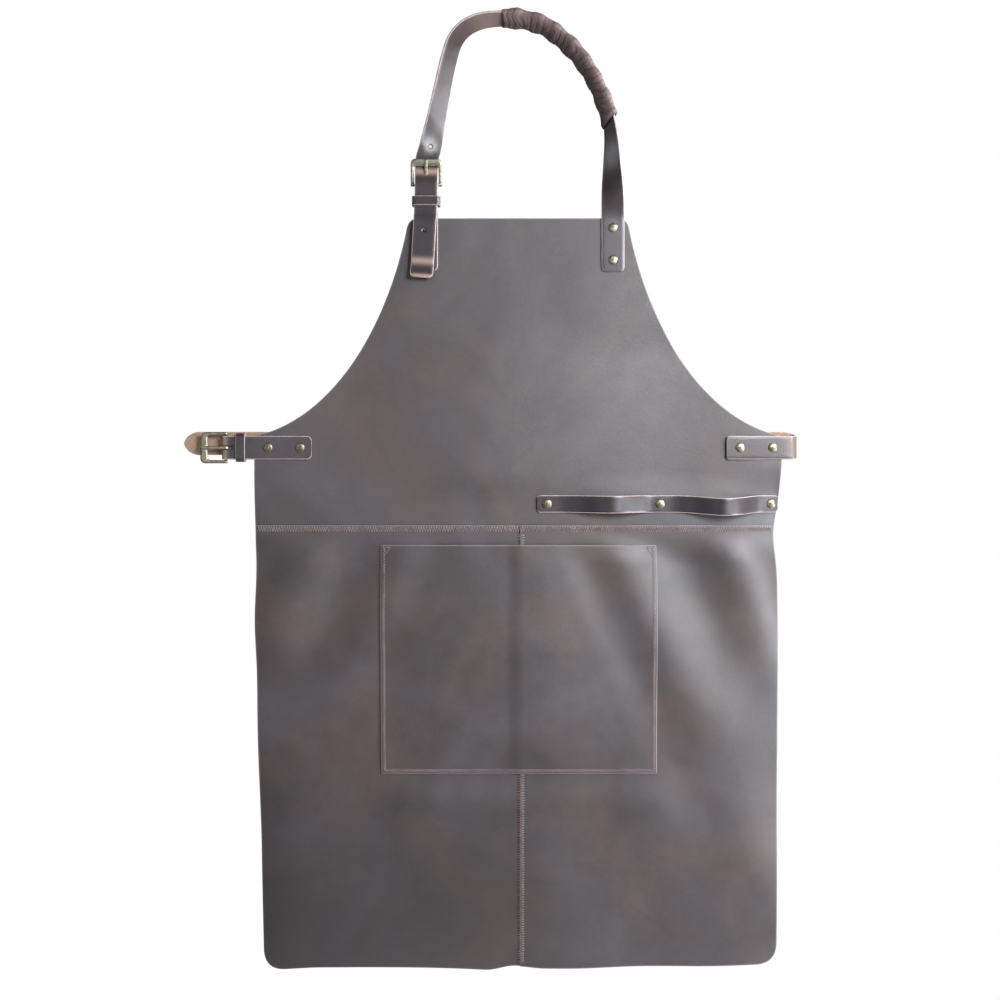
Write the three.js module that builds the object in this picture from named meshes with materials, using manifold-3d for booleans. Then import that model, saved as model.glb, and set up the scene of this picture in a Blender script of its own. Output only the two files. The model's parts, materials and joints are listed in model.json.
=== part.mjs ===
// Leather welding apron: bib, two skirt panels, a patch pocket, a tool loop strap, a buckled
// neck strap with a gathered pad, and a buckled waist strap folded away behind the bib.
// Millimetres, +Z up, the front faces -Y. The origin is under the crown of the neck strap,
// where a peg holds the apron up.
import * as THREE from 'three';
import { mergeVertices } from 'three/addons/utils/BufferGeometryUtils.js';
import Module from 'manifold-3d';

const wasm = await Module();
wasm.setup();

// ---------- driving dimensions ----------
const GAP = 0.3; // clearance between pieces that touch
const BODY_T = 1.8; // bib, skirt and pocket leather
const STRAP_T = 2.6; // strap leather
const STRAP_W = 27; // waist strap and buckle tabs
const NECK_W = 26.5;

const BIB_TOP = -229;
const BIB_TOP_HALF = 125.3;
const WAIST_Z = -480; // where the armhole curve meets the side edge
const WAIST_HALF = 306;
const SIDE_HALF = 300;
const SEAM_TOP = -582.6; // top edge of the skirt panels
const SEAM_LAP = 13; // how far the bib runs down behind the skirt
const HEM = -1094;
const HEM_RADIUS = 25;
const CENTRE_EDGE = 2.6; // visible edge of the right skirt panel
const CENTRE_LAP = 12;

const POCKET = { half: 158.5, centre: 1, top: -605, bottom: -867, bow: 9 };
const TOOL = { left: 22, right: 299.5, z: -557.5, width: 20, thickness: 2.4 };
TOOL.rivets = [33.5, 163.4, 291.7];
TOOL.bows = [15, 18]; // how far each loop stands off the bib
const TOOL_FLAT = 8; // flat length each side of a rivet

const BUCKLE = { across: 36, reach: 29.5, arm: 3.8, bar: 8.5, thickness: 3, heel: 1.5 };
const PRONG = { width: 3.6, thickness: 2.1, reach: 30 };
const TAB = { reach: 99, slot: 4.6 };
const RIVET = { head: 5.25, hole: 1.9, shank: 1.6, fromEnd: 13, pitch: 37, depth: 1.6 };
const KEEPER = { length: 10.8, wall: 1.8, play: 1.1 };
const HOLE_PITCH = 33; // adjustment holes in both straps
const HOLE_R = 2;

const NECK = { tabX: -105.5, strapX: 109.2, strapEnd: -290, heelZ: -190.1, tilt: 12 };
NECK.keeperTop = -204.3;
const WAIST = { z: -492.8, heelX: -336.5, keeperNear: 12.1, strapEnd: 239.8, corner: 3 };
WAIST.rivets = [15.5, 53]; // distances from the strap's end
const FOLD = { x: 314.6, y: 3, radius: 5.5 }; // the waist strap turns back behind the bib here
const BACK_RUN = { z: -487.5, start: 6, tip: -386.5, taper: 22, firstHole: 57 };

const THREAD = { width: 7, thickness: 0.3 };
const NECK_STEPS = 90; // cross-sections along the neck strap
const SLEEVE = { width: 31, depth: 13, first: 15, last: 34 }; // first and last cross-section it covers

// layers from back to front, as the y of each back face
const BIB_Y = BODY_T / 2;
const SKIRT_LEFT_Y = -BIB_Y - GAP;
const SKIRT_RIGHT_Y = SKIRT_LEFT_Y - BODY_T - GAP;
const SEAM_THREAD_Y = SKIRT_RIGHT_Y - BODY_T - GAP;
const POCKET_Y = SEAM_THREAD_Y - THREAD.thickness - GAP;
const POCKET_THREAD_Y = POCKET_Y - BODY_T - GAP;
const STRAP_Y = -BIB_Y - GAP;
const TAB_HALF_GAP = BIB_Y + GAP;
const FOLD_INNER = BUCKLE.heel + GAP;

const rad = THREE.MathUtils.degToRad;
const apron = new THREE.Group();

// ---------- materials ----------
const leather = (color, roughness) => new THREE.MeshStandardMaterial({ color, roughness, metalness: 0 });
const bodyLeather = () => leather(0x6b6466, 0.5);
const strapLeather = () => leather(0x5f5558, 0.45);
const sleeveLeather = () => leather(0x5e4d4b, 0.6);
const thread = () => leather(0x8a7673, 0.8);
const brass = () => new THREE.MeshStandardMaterial({ color: 0x8f8258, roughness: 0.35, metalness: 1 });

// ---------- helpers ----------
function add(name, geometry, material, parent = apron) {
  const mesh = new THREE.Mesh(geometry, material);
  mesh.name = name;
  parent.add(mesh);
  return mesh;
}

function positionsOnly(geometry) {
  const bare = new THREE.BufferGeometry();
  bare.setAttribute('position', geometry.getAttribute('position'));
  if (geometry.index) bare.setIndex(geometry.index);
  return mergeVertices(bare, 1e-4);
}

function toSolid(geometry) {
  const merged = positionsOnly(geometry);
  return new wasm.Manifold(new wasm.Mesh({
    numProp: 3,
    vertProperties: new Float32Array(merged.getAttribute('position').array),
    triVerts: new Uint32Array(merged.index.array),
  }));
}

function fromSolid(solid) {
  const { vertProperties, triVerts } = solid.getMesh();
  const geometry = new THREE.BufferGeometry();
  geometry.setAttribute('position', new THREE.BufferAttribute(vertProperties, 3));
  geometry.setIndex(new THREE.BufferAttribute(triVerts, 1));
  return geometry;
}

const cut = (geometry, ...tools) =>
  fromSolid(tools.reduce((solid, tool) => solid.subtract(toSolid(tool)), toSolid(geometry)));
const join = (first, ...others) =>
  fromSolid(others.reduce((solid, other) => solid.add(toSolid(other)), toSolid(first)));
const common = (first, second) => fromSolid(toSolid(first).intersect(toSolid(second)));

// a box given by its lowest and highest corners
function block(low, high) {
  const size = high.map((value, axis) => value - low[axis]);
  const middle = high.map((value, axis) => (value + low[axis]) / 2);
  return new THREE.BoxGeometry(...size).translate(...middle);
}

// a round bar along Y, for cutting holes through the layers of leather
function holeThrough(x, z, radius, front = -20, back = 20) {
  const bar = new THREE.CylinderGeometry(radius, radius, back - front, 12);
  return bar.translate(x, (front + back) / 2, z);
}

function circle(x, z, radius, sides = 12) {
  const points = [];
  for (let i = 0; i < sides; i += 1) {
    const angle = (i / sides) * 2 * Math.PI;
    points.push(new THREE.Vector2(x + radius * Math.cos(angle), z + radius * Math.sin(angle)));
  }
  return new THREE.Path(points);
}

// an outline drawn in X and Z, given thickness towards the front
function plate(shape, backY, thickness, curveSegments = 6) {
  const geometry = new THREE.ExtrudeGeometry(shape, { depth: thickness, bevelEnabled: false, curveSegments });
  return geometry.rotateX(Math.PI / 2).translate(0, backY, 0);
}

function roundedRect(left, right, bottom, top, radii) {
  const [bottomLeft, bottomRight, topRight, topLeft] = radii;
  const shape = new THREE.Shape();
  shape.moveTo(left + bottomLeft, bottom);
  shape.lineTo(right - bottomRight, bottom);
  if (bottomRight) shape.absarc(right - bottomRight, bottom + bottomRight, bottomRight, -Math.PI / 2, 0);
  shape.lineTo(right, top - topRight);
  if (topRight) shape.absarc(right - topRight, top - topRight, topRight, 0, Math.PI / 2);
  shape.lineTo(left + topLeft, top);
  if (topLeft) shape.absarc(left + topLeft, top - topLeft, topLeft, Math.PI / 2, Math.PI);
  shape.lineTo(left, bottom + bottomLeft);
  if (bottomLeft) shape.absarc(left + bottomLeft, bottom + bottomLeft, bottomLeft, Math.PI, 1.5 * Math.PI);
  return shape;
}

// a closed body from quads between rings of points; open runs are capped, closed runs join up
function loft(rings, closed = false) {
  const count = rings[0].length;
  const positions = rings.flat().flatMap((point) => [point.x, point.y, point.z]);
  const indices = [];
  const last = closed ? rings.length : rings.length - 1;
  for (let row = 0; row < last; row += 1) {
    const next = (row + 1) % rings.length;
    for (let i = 0; i < count; i += 1) {
      const j = (i + 1) % count;
      const [a, b, c, d] = [row * count + i, row * count + j, next * count + j, next * count + i];
      indices.push(a, b, c, a, c, d);
    }
  }
  if (!closed) {
    const end = (rings.length - 1) * count;
    for (let i = 1; i < count - 1; i += 1) {
      indices.push(0, i + 1, i);
      indices.push(end, end + i, end + i + 1);
    }
  }
  return facingOut(positions, indices);
}

function facingOut(positions, indices) {
  const corner = (n) => new THREE.Vector3().fromArray(positions, 3 * n);
  let volume = 0;
  for (let i = 0; i < indices.length; i += 3) {
    const [a, b, c] = [corner(indices[i]), corner(indices[i + 1]), corner(indices[i + 2])];
    volume += a.dot(b.cross(c));
  }
  if (volume < 0) indices.reverse();
  const geometry = new THREE.BufferGeometry();
  geometry.setAttribute('position', new THREE.Float32BufferAttribute(positions, 3));
  geometry.setIndex(indices);
  return geometry;
}

// ---------- leather panels ----------
function rivetPlaces() {
  const places = [];
  TOOL.rivets.forEach((x, i) => places.push({ name: `tool_strap_rivet_${i + 1}`, x, z: TOOL.z }));
  for (const i of [0, 1]) {
    const along = RIVET.fromEnd + i * RIVET.pitch;
    places.push({ name: `neck_strap_rivet_${i + 1}`, x: NECK.strapX, z: NECK.strapEnd + along });
    places.push({ name: `waist_strap_rivet_${i + 1}`, x: WAIST.strapEnd + WAIST.rivets[i], z: WAIST.z });
    const fromHeel = TAB.reach - along;
    places.push({ name: `neck_tab_rivet_${i + 1}`, x: NECK.tabX, z: NECK.heelZ - fromHeel, tab: true });
    places.push({ name: `waist_tab_rivet_${i + 1}`, x: WAIST.heelX + fromHeel, z: WAIST.z, tab: true });
  }
  return places;
}

function bibPanel() {
  const corner = 11;
  const waistCorner = 7;
  const bottom = SEAM_TOP - SEAM_LAP;
  const shape = new THREE.Shape();
  shape.moveTo(-SIDE_HALF, bottom);
  shape.lineTo(SIDE_HALF, bottom);
  shape.lineTo(WAIST_HALF - 1, WAIST_Z - waistCorner);
  shape.quadraticCurveTo(WAIST_HALF, WAIST_Z, WAIST_HALF - waistCorner, WAIST_Z + 1.5);
  shape.bezierCurveTo(213, BIB_TOP - 228, 150, BIB_TOP - 125, BIB_TOP_HALF + 2.4, BIB_TOP - corner);
  shape.quadraticCurveTo(BIB_TOP_HALF, BIB_TOP, BIB_TOP_HALF - corner, BIB_TOP);
  shape.lineTo(corner - BIB_TOP_HALF, BIB_TOP);
  shape.quadraticCurveTo(-BIB_TOP_HALF, BIB_TOP, -BIB_TOP_HALF - 2.4, BIB_TOP - corner);
  shape.bezierCurveTo(-150, BIB_TOP - 125, -213, BIB_TOP - 228, waistCorner - WAIST_HALF, WAIST_Z + 1.5);
  shape.quadraticCurveTo(-WAIST_HALF, WAIST_Z, 1 - WAIST_HALF, WAIST_Z - waistCorner);
  for (const { x, z } of rivetPlaces()) shape.holes.push(circle(x, z, RIVET.hole));
  return plate(shape, BIB_Y, BODY_T, 12);
}

function skirtPanel(left, right, radii, backY) {
  return plate(roundedRect(left, right, HEM, SEAM_TOP, radii), backY, BODY_T);
}

// the pocket stands off the skirt most at the middle of its mouth
function pocketPanel() {
  const columns = 16;
  const rows = 12;
  const point = (i, j, y) => {
    const across = (2 * i) / columns - 1;
    const down = j / rows;
    const bow = POCKET.bow * (1 - across ** 2) * (1 - down ** 3);
    return new THREE.Vector3(
      POCKET.centre + across * POCKET.half,
      y - bow,
      POCKET.top + down * (POCKET.bottom - POCKET.top),
    );
  };
  const rings = [];
  for (let i = 0; i <= columns; i += 1) {
    const ring = [];
    for (let j = 0; j <= rows; j += 1) ring.push(point(i, j, POCKET_Y));
    for (let j = rows; j >= 0; j -= 1) ring.push(point(i, j, POCKET_Y - BODY_T));
    rings.push(ring);
  }
  return stripSides(rings, rows);
}

// a lofted sheet whose two end caps are strips, one quad for each pair of facing points
function stripSides(rings, rows) {
  const count = rings[0].length;
  const positions = rings.flat().flatMap((point) => [point.x, point.y, point.z]);
  const indices = [];
  for (let row = 0; row < rings.length - 1; row += 1) {
    for (let i = 0; i < count; i += 1) {
      const j = (i + 1) % count;
      const [a, b] = [row * count + i, row * count + j];
      indices.push(a, b, b + count, a, b + count, a + count);
    }
  }
  const end = (rings.length - 1) * count;
  for (let j = 0; j < rows; j += 1) {
    const [a, b, c, d] = [j, j + 1, count - 2 - j, count - 1 - j];
    indices.push(a, c, b, a, d, c);
    indices.push(end + a, end + b, end + c, end + a, end + c, end + d);
  }
  return facingOut(positions, indices);
}

// ---------- threads, as flat bands that the stitches fill ----------
function waistSeamThread() {
  const edge = SIDE_HALF - 1;
  const band = roundedRect(-edge, edge, SEAM_TOP - THREAD.width, SEAM_TOP, [0, 0, 0, 0]);
  return plate(band, SEAM_THREAD_Y, THREAD.thickness);
}

function centreSeamThread() {
  const half = (THREAD.width + 2) / 2;
  const top = SEAM_TOP - THREAD.width - 1;
  const middle = CENTRE_EDGE + 1;
  const band = roundedRect(middle - half, middle + half, HEM + 3, top, [0, 0, 0, 0]);
  return plate(band, SEAM_THREAD_Y, THREAD.thickness);
}

function pocketThread() {
  const inset = 1.5;
  const corner = 10;
  const left = POCKET.centre - POCKET.half + inset;
  const right = POCKET.centre + POCKET.half - inset;
  const [top, bottom, band] = [POCKET.top - inset, POCKET.bottom + inset, THREAD.width];
  const shape = new THREE.Shape();
  shape.moveTo(left, bottom);
  shape.lineTo(right, bottom);
  shape.lineTo(right, top);
  shape.lineTo(right - corner, top);
  shape.lineTo(right - band, top - corner);
  shape.lineTo(right - band, bottom + band);
  shape.lineTo(left + band, bottom + band);
  shape.lineTo(left + band, top - corner);
  shape.lineTo(left + corner, top);
  shape.lineTo(left, top);
  // the pocket's bow near its edges is about half a millimetre for each millimetre inwards
  return plate(shape, POCKET_THREAD_Y - 1.1, THREAD.thickness);
}

// ---------- tool loop strap ----------
function toolBow(x) {
  for (let i = 0; i < TOOL.bows.length; i += 1) {
    const from = TOOL.rivets[i] + TOOL_FLAT;
    const to = TOOL.rivets[i + 1] - TOOL_FLAT;
    if (x > from && x < to) {
      const turn = ((x - from) / (to - from)) * 2 * Math.PI;
      return (TOOL.bows[i] * (1 - Math.cos(turn))) / 2;
    }
  }
  return 0;
}

function toolLoopStrap() {
  const steps = 56;
  const outer = [];
  const inner = [];
  for (let i = 0; i <= steps; i += 1) {
    const x = TOOL.left + (i / steps) * (TOOL.right - TOOL.left);
    const y = STRAP_Y - toolBow(x);
    inner.push(new THREE.Vector2(x, y));
    outer.unshift(new THREE.Vector2(x, y - TOOL.thickness));
  }
  const section = new THREE.Shape([...inner, ...outer]);
  const half = TOOL.width / 2;
  const strip = new THREE.ExtrudeGeometry(section, { depth: TOOL.width, bevelEnabled: false });
  strip.translate(0, 0, TOOL.z - half);
  const outline = roundedRect(TOOL.left, TOOL.right, TOOL.z - half, TOOL.z + half, [5, 5, 5, 5]);
  const rounded = common(strip, plate(outline, 0, 40, 4));
  return cut(rounded, ...TOOL.rivets.map((x) => holeThrough(x, TOOL.z, RIVET.hole)));
}

// ---------- neck strap ----------
// x, y, z of the strap's middle, and how far its grain face has turned from the front to the inside
const NECK_ROUTE = [
  [109.2, -2.5, -290, 0],
  [109.2, -2.5, -262, 0],
  [109.2, -2.5, -232, 0],
  [109, -3, -203, 14],
  [108.6, -1, -170, 42],
  [107.6, 0, -135, 60],
  [103.7, 0, -109, 68],
  [94.5, 0, -82.7, 71],
  [82.5, 0, -60, 72],
  [66, 0, -37, 72],
  [48, 0, -19.5, 72],
  [25.3, 0, -5, 72],
  [0, 0.4, 1.2, 72],
  [-22, 0.4, 1.6, 70],
  [-44, 0, -1.5, 66],
  [-61, 0, -10, 61],
  [-72.6, 0, -24, 56],
  [-80, 0, -46, 52],
  [-85.2, 0, -69, 51],
  [-94.5, 0, -115, 42],
  [-101, -0.2, -147, 18],
  [-104.4, -0.7, -159.5, 2],
  [-105.2, -1.2, -168.5, 0],
  [-105.3, -2.9, -175, 0],
  [-105.3, -5.2, -182, 0],
  [-105.4, -6.3, -188, 0],
  [-105.4, -6.2, -194, 0],
  [-105.6, -5.6, -201, 0],
  [-105.9, -5.5, -212, 0],
  [-106.3, -5.7, -224, 0],
  [-106.9, -7.4, -233, 0],
  [-108.5, -7.5, -262, 0],
  [-109.9, -8, -285, 0],
  [-110.6, -9.4, -293, 0],
  [-110.9, -11.6, -298, 0],
];
const neckCurve = new THREE.CatmullRomCurve3(NECK_ROUTE.map(([x, y, z]) => new THREE.Vector3(x, y, z)));
const neckTurn = new THREE.CatmullRomCurve3(NECK_ROUTE.map(([, , , turn]) => new THREE.Vector3(turn, 0, 0)));

// the strap's middle, its width direction and its grain normal at t from 0 to 1 along the route
function neckStation(t) {
  const tangent = neckCurve.getTangent(t);
  const front = new THREE.Vector3(0, -1, 0).projectOnPlane(tangent).normalize();
  const inside = new THREE.Vector3().crossVectors(front, tangent);
  const turn = rad(neckTurn.getPoint(t).x);
  const normal = front.multiplyScalar(Math.cos(turn)).addScaledVector(inside, Math.sin(turn));
  const width = new THREE.Vector3().crossVectors(normal, tangent).normalize();
  return { middle: neckCurve.getPoint(t), width, normal, tangent };
}

function stripSection({ middle, width, normal }, w, t) {
  const corners = [[-1, -1], [1, -1], [1, 1], [-1, 1]];
  return corners.map(([a, b]) =>
    middle.clone().addScaledVector(width, (a * w) / 2).addScaledVector(normal, (b * t) / 2));
}

function neckPlaceAtHeight(z) {
  let [low, high] = [0.62, 1];
  for (let i = 0; i < 30; i += 1) {
    const middle = (low + high) / 2;
    if (neckCurve.getPoint(middle).z > z) low = middle;
    else high = middle;
  }
  return neckCurve.getPoint(low);
}

function neckStrap(prongSweep) {
  const rings = [];
  for (let i = 0; i <= NECK_STEPS; i += 1) {
    rings.push(stripSection(neckStation(i / NECK_STEPS), NECK_W, STRAP_T));
  }
  const holes = [0, 1].map((i) => {
    const z = NECK.strapEnd + RIVET.fromEnd + i * RIVET.pitch;
    return holeThrough(NECK.strapX, z, RIVET.hole);
  });
  for (const z of [-146.5, -178.5 - HOLE_PITCH, -178.5 - 2 * HOLE_PITCH]) {
    holes.push(holeThrough(neckPlaceAtHeight(z).x, z, HOLE_R));
  }
  return cut(loft(rings), ...holes, prongSweep);
}

// gathered leather tube round the neck strap
function neckPadSleeve() {
  const sides = 16;
  const ellipse = (station, w, d) => {
    const ring = [];
    for (let i = 0; i < sides; i += 1) {
      const angle = (i / sides) * 2 * Math.PI;
      ring.push(station.middle.clone()
        .addScaledVector(station.width, (w / 2) * Math.cos(angle))
        .addScaledVector(station.normal, (d / 2) * Math.sin(angle)));
    }
    return ring;
  };
  const outer = [];
  const inner = [];
  for (let i = SLEEVE.first; i <= SLEEVE.last; i += 1) {
    const station = neckStation(i / NECK_STEPS);
    outer.push(ellipse(station, SLEEVE.width, SLEEVE.depth));
    inner.unshift(slotRing(station, sides));
  }
  return loft([...outer, ...inner], true);
}

// a flat ring of points just clear of the strap
function slotRing(station, sides) {
  const halfWidth = NECK_W / 2 + GAP;
  const halfDepth = STRAP_T / 2 + GAP + 0.2;
  const ring = [];
  for (let i = 0; i < sides; i += 1) {
    const angle = (i / sides) * 2 * Math.PI;
    const reach = Math.max(Math.abs(Math.cos(angle)), Math.abs(Math.sin(angle)));
    ring.push(station.middle.clone()
      .addScaledVector(station.width, (halfWidth * Math.cos(angle)) / reach)
      .addScaledVector(station.normal, (halfDepth * Math.sin(angle)) / reach));
  }
  return ring;
}

// ---------- buckles: X across the strap, Y from the heel bar to the outer bar, Z to the front ----------
function buckleFrame() {
  const { across, reach, arm, bar, thickness, heel } = BUCKLE;
  const half = across / 2;
  const ring = roundedRect(-half, half, -heel - 0.4, reach, [2, 2, 6, 6]);
  const opening = roundedRect(arm - half, half - arm, -heel - 5, reach - bar, [0, 0, 2.5, 2.5]);
  const options = { depth: thickness, bevelEnabled: false, curveSegments: 4 };
  const outside = new THREE.ExtrudeGeometry(ring, options).translate(0, 0, -thickness / 2);
  const inside = new THREE.ExtrudeGeometry(opening, { ...options, depth: 20 }).translate(0, 0, -10);
  const heelBar = new THREE.CylinderGeometry(heel, heel, across - arm, 12).rotateZ(Math.PI / 2);
  return join(cut(outside, inside), heelBar);
}

function buckleProng() {
  const { width, thickness, reach } = PRONG;
  const inner = BUCKLE.heel + GAP;
  const outer = inner + thickness;
  const eye = new THREE.Shape(circle(0, 0, outer, 20).getPoints());
  eye.holes.push(circle(0, 0, inner, 12));
  const options = { depth: width, bevelEnabled: false };
  const loop = new THREE.ExtrudeGeometry(eye, options).translate(0, 0, -width / 2).rotateY(Math.PI / 2);
  const shank = new THREE.Shape();
  shank.moveTo(-width / 2, 0);
  shank.lineTo(width / 2, 0);
  shank.lineTo(width / 2, reach - 6);
  shank.quadraticCurveTo(width / 3, reach, 0, reach);
  shank.quadraticCurveTo(-width / 3, reach, -width / 2, reach - 6);
  const bladeOptions = { depth: thickness, bevelEnabled: false, curveSegments: 4 };
  const blade = new THREE.ExtrudeGeometry(shank, bladeOptions).translate(0, 0, inner);
  return join(loop, blade);
}

// a strip folded round the heel bar, its two layers either side of the bib
function foldedTab() {
  const side = (sign, offset) => [
    [-TAB.reach, sign * (TAB_HALF_GAP + offset)],
    [-12, sign * (TAB_HALF_GAP + offset)],
    [-3, sign * (FOLD_INNER + offset)],
  ];
  const arc = (radius) => {
    const points = [];
    for (let i = 0; i <= 12; i += 1) {
      const angle = Math.PI / 2 - (i / 12) * Math.PI;
      points.push([radius * Math.cos(angle), radius * Math.sin(angle)]);
    }
    return points;
  };
  const outer = [...side(1, STRAP_T), ...arc(FOLD_INNER + STRAP_T), ...side(-1, STRAP_T).reverse()];
  const inner = [...side(1, 0), ...arc(FOLD_INNER), ...side(-1, 0).reverse()];
  const outline = [...outer, ...inner.reverse()].map(([y, z]) => new THREE.Vector2(y, z));
  const strip = new THREE.ExtrudeGeometry(new THREE.Shape(outline), { depth: STRAP_W, bevelEnabled: false });
  strip.translate(0, 0, -STRAP_W / 2);
  // the section was drawn in X and Y: turn it into Y and Z, with the width along X
  strip.applyMatrix4(new THREE.Matrix4().set(0, 0, 1, 0, 1, 0, 0, 0, 0, 1, 0, 0, 0, 0, 0, 1));
  const half = STRAP_W / 2;
  const shape = roundedRect(-half, half, -TAB.reach, 20, [5, 5, 0, 0]);
  const outlinePlate = new THREE.ExtrudeGeometry(shape, { depth: 40, bevelEnabled: false, curveSegments: 4 });
  const rounded = common(strip, outlinePlate.translate(0, 0, -20));
  const slot = TAB.slot / 2;
  const frontSlot = block([-slot, -9, 0], [slot, 9, 9]);
  const backSlot = block([-slot, -3.5, -9], [slot, 9, 1]);
  const holes = [0, 1].map((i) => {
    const bar = new THREE.CylinderGeometry(RIVET.hole, RIVET.hole, 40, 12).rotateX(Math.PI / 2);
    return bar.translate(0, RIVET.fromEnd + i * RIVET.pitch - TAB.reach, 0);
  });
  return cut(rounded, frontSlot, backSlot, ...holes);
}

// a leather loop round the tab, with the depth it needs to the back and to the front
function keeper(back, front) {
  const halfWidth = STRAP_W / 2 + KEEPER.play;
  const { wall } = KEEPER;
  const radii = (r) => [r, r, r, r];
  const outside = roundedRect(-halfWidth - wall, halfWidth + wall, -back - wall, front + wall, radii(2.6));
  const inside = roundedRect(-halfWidth, halfWidth, -back, front, radii(0.8));
  outside.holes.push(new THREE.Path(inside.getPoints(3).reverse()));
  const band = new THREE.ExtrudeGeometry(outside, { depth: KEEPER.length, bevelEnabled: false, curveSegments: 3 });
  return band.rotateX(Math.PI / 2);
}

function buckleGroup(origin, across, along, tilt = 0) {
  const frontNormal = new THREE.Vector3().crossVectors(across, along);
  const turned = along.clone().applyAxisAngle(across, tilt);
  const group = new THREE.Group();
  group.position.copy(origin);
  group.setRotationFromMatrix(new THREE.Matrix4().makeBasis(
    across, turned, frontNormal.clone().applyAxisAngle(across, tilt)));
  apron.add(group);
  return group;
}

// ---------- rivets: the axis is Y, turned so that the cap's dome faces the front ----------
function rivet(name, x, z, frontFace, backFace) {
  const group = new THREE.Group();
  group.rotation.x = Math.PI;
  group.position.set(x, 0, z);
  apron.add(group);
  const { head, hole, shank, depth } = RIVET;
  const capBase = -frontFace + GAP;
  const bore = 0.9;
  const cap = [[0, bore], [hole, bore], [hole, 0], [head, 0], [head, 0.4], [head * 0.8, 1.1],
    [head * 0.45, 1.5], [0, depth]];
  const flangeBase = -backFace - GAP;
  const tip = capBase - flangeBase + bore - GAP;
  const foot = [[0, -1.3], [3.2, -1.15], [4.6, -0.5], [4.6, 0], [shank, 0], [shank, tip], [0, tip]];
  const turned = (profile) => new THREE.LatheGeometry(profile.map(([r, h]) => new THREE.Vector2(r, h)), 12);
  add(`${name}_cap`, positionsOnly(turned(cap)), brass(), group).position.y = capBase;
  add(`${name}_post`, positionsOnly(turned(foot)), brass(), group).position.y = flangeBase;
}

// ---------- waist strap ----------
// the stretch riveted to the bib, with the half turn that takes it behind
function waistStrapFront() {
  const front = FOLD.y - FOLD.radius;
  const [inner, outer] = [FOLD.radius - STRAP_T / 2, FOLD.radius + STRAP_T / 2];
  const section = new THREE.Shape();
  section.moveTo(WAIST.strapEnd, front - STRAP_T / 2);
  section.lineTo(FOLD.x, front - STRAP_T / 2);
  section.absarc(FOLD.x, FOLD.y, outer, -Math.PI / 2, Math.PI / 2, false);
  section.lineTo(FOLD.x, FOLD.y + inner);
  section.absarc(FOLD.x, FOLD.y, inner, Math.PI / 2, -Math.PI / 2, true);
  section.lineTo(WAIST.strapEnd, front + STRAP_T / 2);
  const half = STRAP_W / 2;
  const strip = new THREE.ExtrudeGeometry(section, { depth: STRAP_W, bevelEnabled: false, curveSegments: 8 });
  strip.translate(0, 0, WAIST.z - half);
  const radii = [WAIST.corner, 0, 0, WAIST.corner];
  const outline = roundedRect(WAIST.strapEnd, FOLD.x + 20, WAIST.z - half, WAIST.z + half, radii);
  const rounded = common(strip, plate(outline, 20, 40, 4));
  const holes = WAIST.rivets.map((along) => holeThrough(WAIST.strapEnd + along, WAIST.z, RIVET.hole));
  return cut(rounded, ...holes);
}

// the long run behind the bib, ending in a rounded tip
function waistStrapBack() {
  const { z, start, tip, taper, firstHole } = BACK_RUN;
  const half = STRAP_W / 2;
  const right = FOLD.x - start;
  const shape = new THREE.Shape();
  shape.moveTo(right, z - half);
  shape.lineTo(right, z + half);
  shape.lineTo(tip + taper, z + half);
  shape.bezierCurveTo(tip + taper / 2, z + half, tip, z + half * 0.6, tip, z);
  shape.bezierCurveTo(tip, z - half * 0.6, tip + taper / 2, z - half, tip + taper, z - half);
  for (let i = 0; i < 6; i += 1) shape.holes.push(circle(tip + firstHole + i * HOLE_PITCH, z, HOLE_R));
  return plate(shape, FOLD.y + FOLD.radius + STRAP_T / 2, STRAP_T, 8);
}

// ---------- assembly ----------
function addPanels() {
  const r = HEM_RADIUS;
  add('bib_panel', bibPanel(), bodyLeather());
  const leftPanel = skirtPanel(-SIDE_HALF, CENTRE_EDGE + CENTRE_LAP, [r, 0, 0, 0], SKIRT_LEFT_Y);
  add('skirt_panel_left', leftPanel, bodyLeather());
  add('skirt_panel_right', skirtPanel(CENTRE_EDGE, SIDE_HALF, [0, r, 0, 0], SKIRT_RIGHT_Y), bodyLeather());
  add('pocket_panel', pocketPanel(), bodyLeather());
  add('waist_seam_thread', waistSeamThread(), thread());
  add('centre_seam_thread', centreSeamThread(), thread());
  add('pocket_thread', pocketThread(), thread());
}

function addStraps() {
  add('tool_loop_strap', toolLoopStrap(), strapLeather());
  add('neck_strap', neckStrap(neckProngSweep()), strapLeather());
  add('neck_pad_sleeve', neckPadSleeve(), sleeveLeather());
  add('waist_strap_front', waistStrapFront(), strapLeather());
  add('waist_strap_back', waistStrapBack(), strapLeather());
}

// the room that the prong needs in its hole, through its few degrees of play
function neckProngSweep() {
  const { width, thickness, reach } = PRONG;
  const inner = BUCKLE.heel + GAP;
  const low = [-width / 2 - GAP, 4, inner - GAP];
  const room = block(low, [width / 2 + GAP, reach, inner + thickness + GAP]);
  const opened = room.clone().rotateX(rad(4));
  const most = room.clone().rotateX(rad(8));
  const turnToNeck = rad(90 + NECK.tilt);
  return join(room, opened, most).rotateX(turnToNeck).translate(NECK.tabX, 0, NECK.heelZ);
}

function addBuckle(place, origin, across, along, tilt, keeperNear, keeperFront) {
  const flat = buckleGroup(origin, across, along);
  const tilted = buckleGroup(origin, across, along, tilt);
  add(`${place}_buckle_tab`, foldedTab(), strapLeather(), flat);
  add(`${place}_buckle_frame`, buckleFrame(), brass(), tilted);
  add(`${place}_buckle_prong`, buckleProng(), brass(), tilted);
  const tabHalf = TAB_HALF_GAP + STRAP_T;
  const band = keeper(tabHalf + 0.5, keeperFront);
  add(`${place}_keeper`, band, strapLeather(), flat).position.y = -keeperNear;
}

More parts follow.
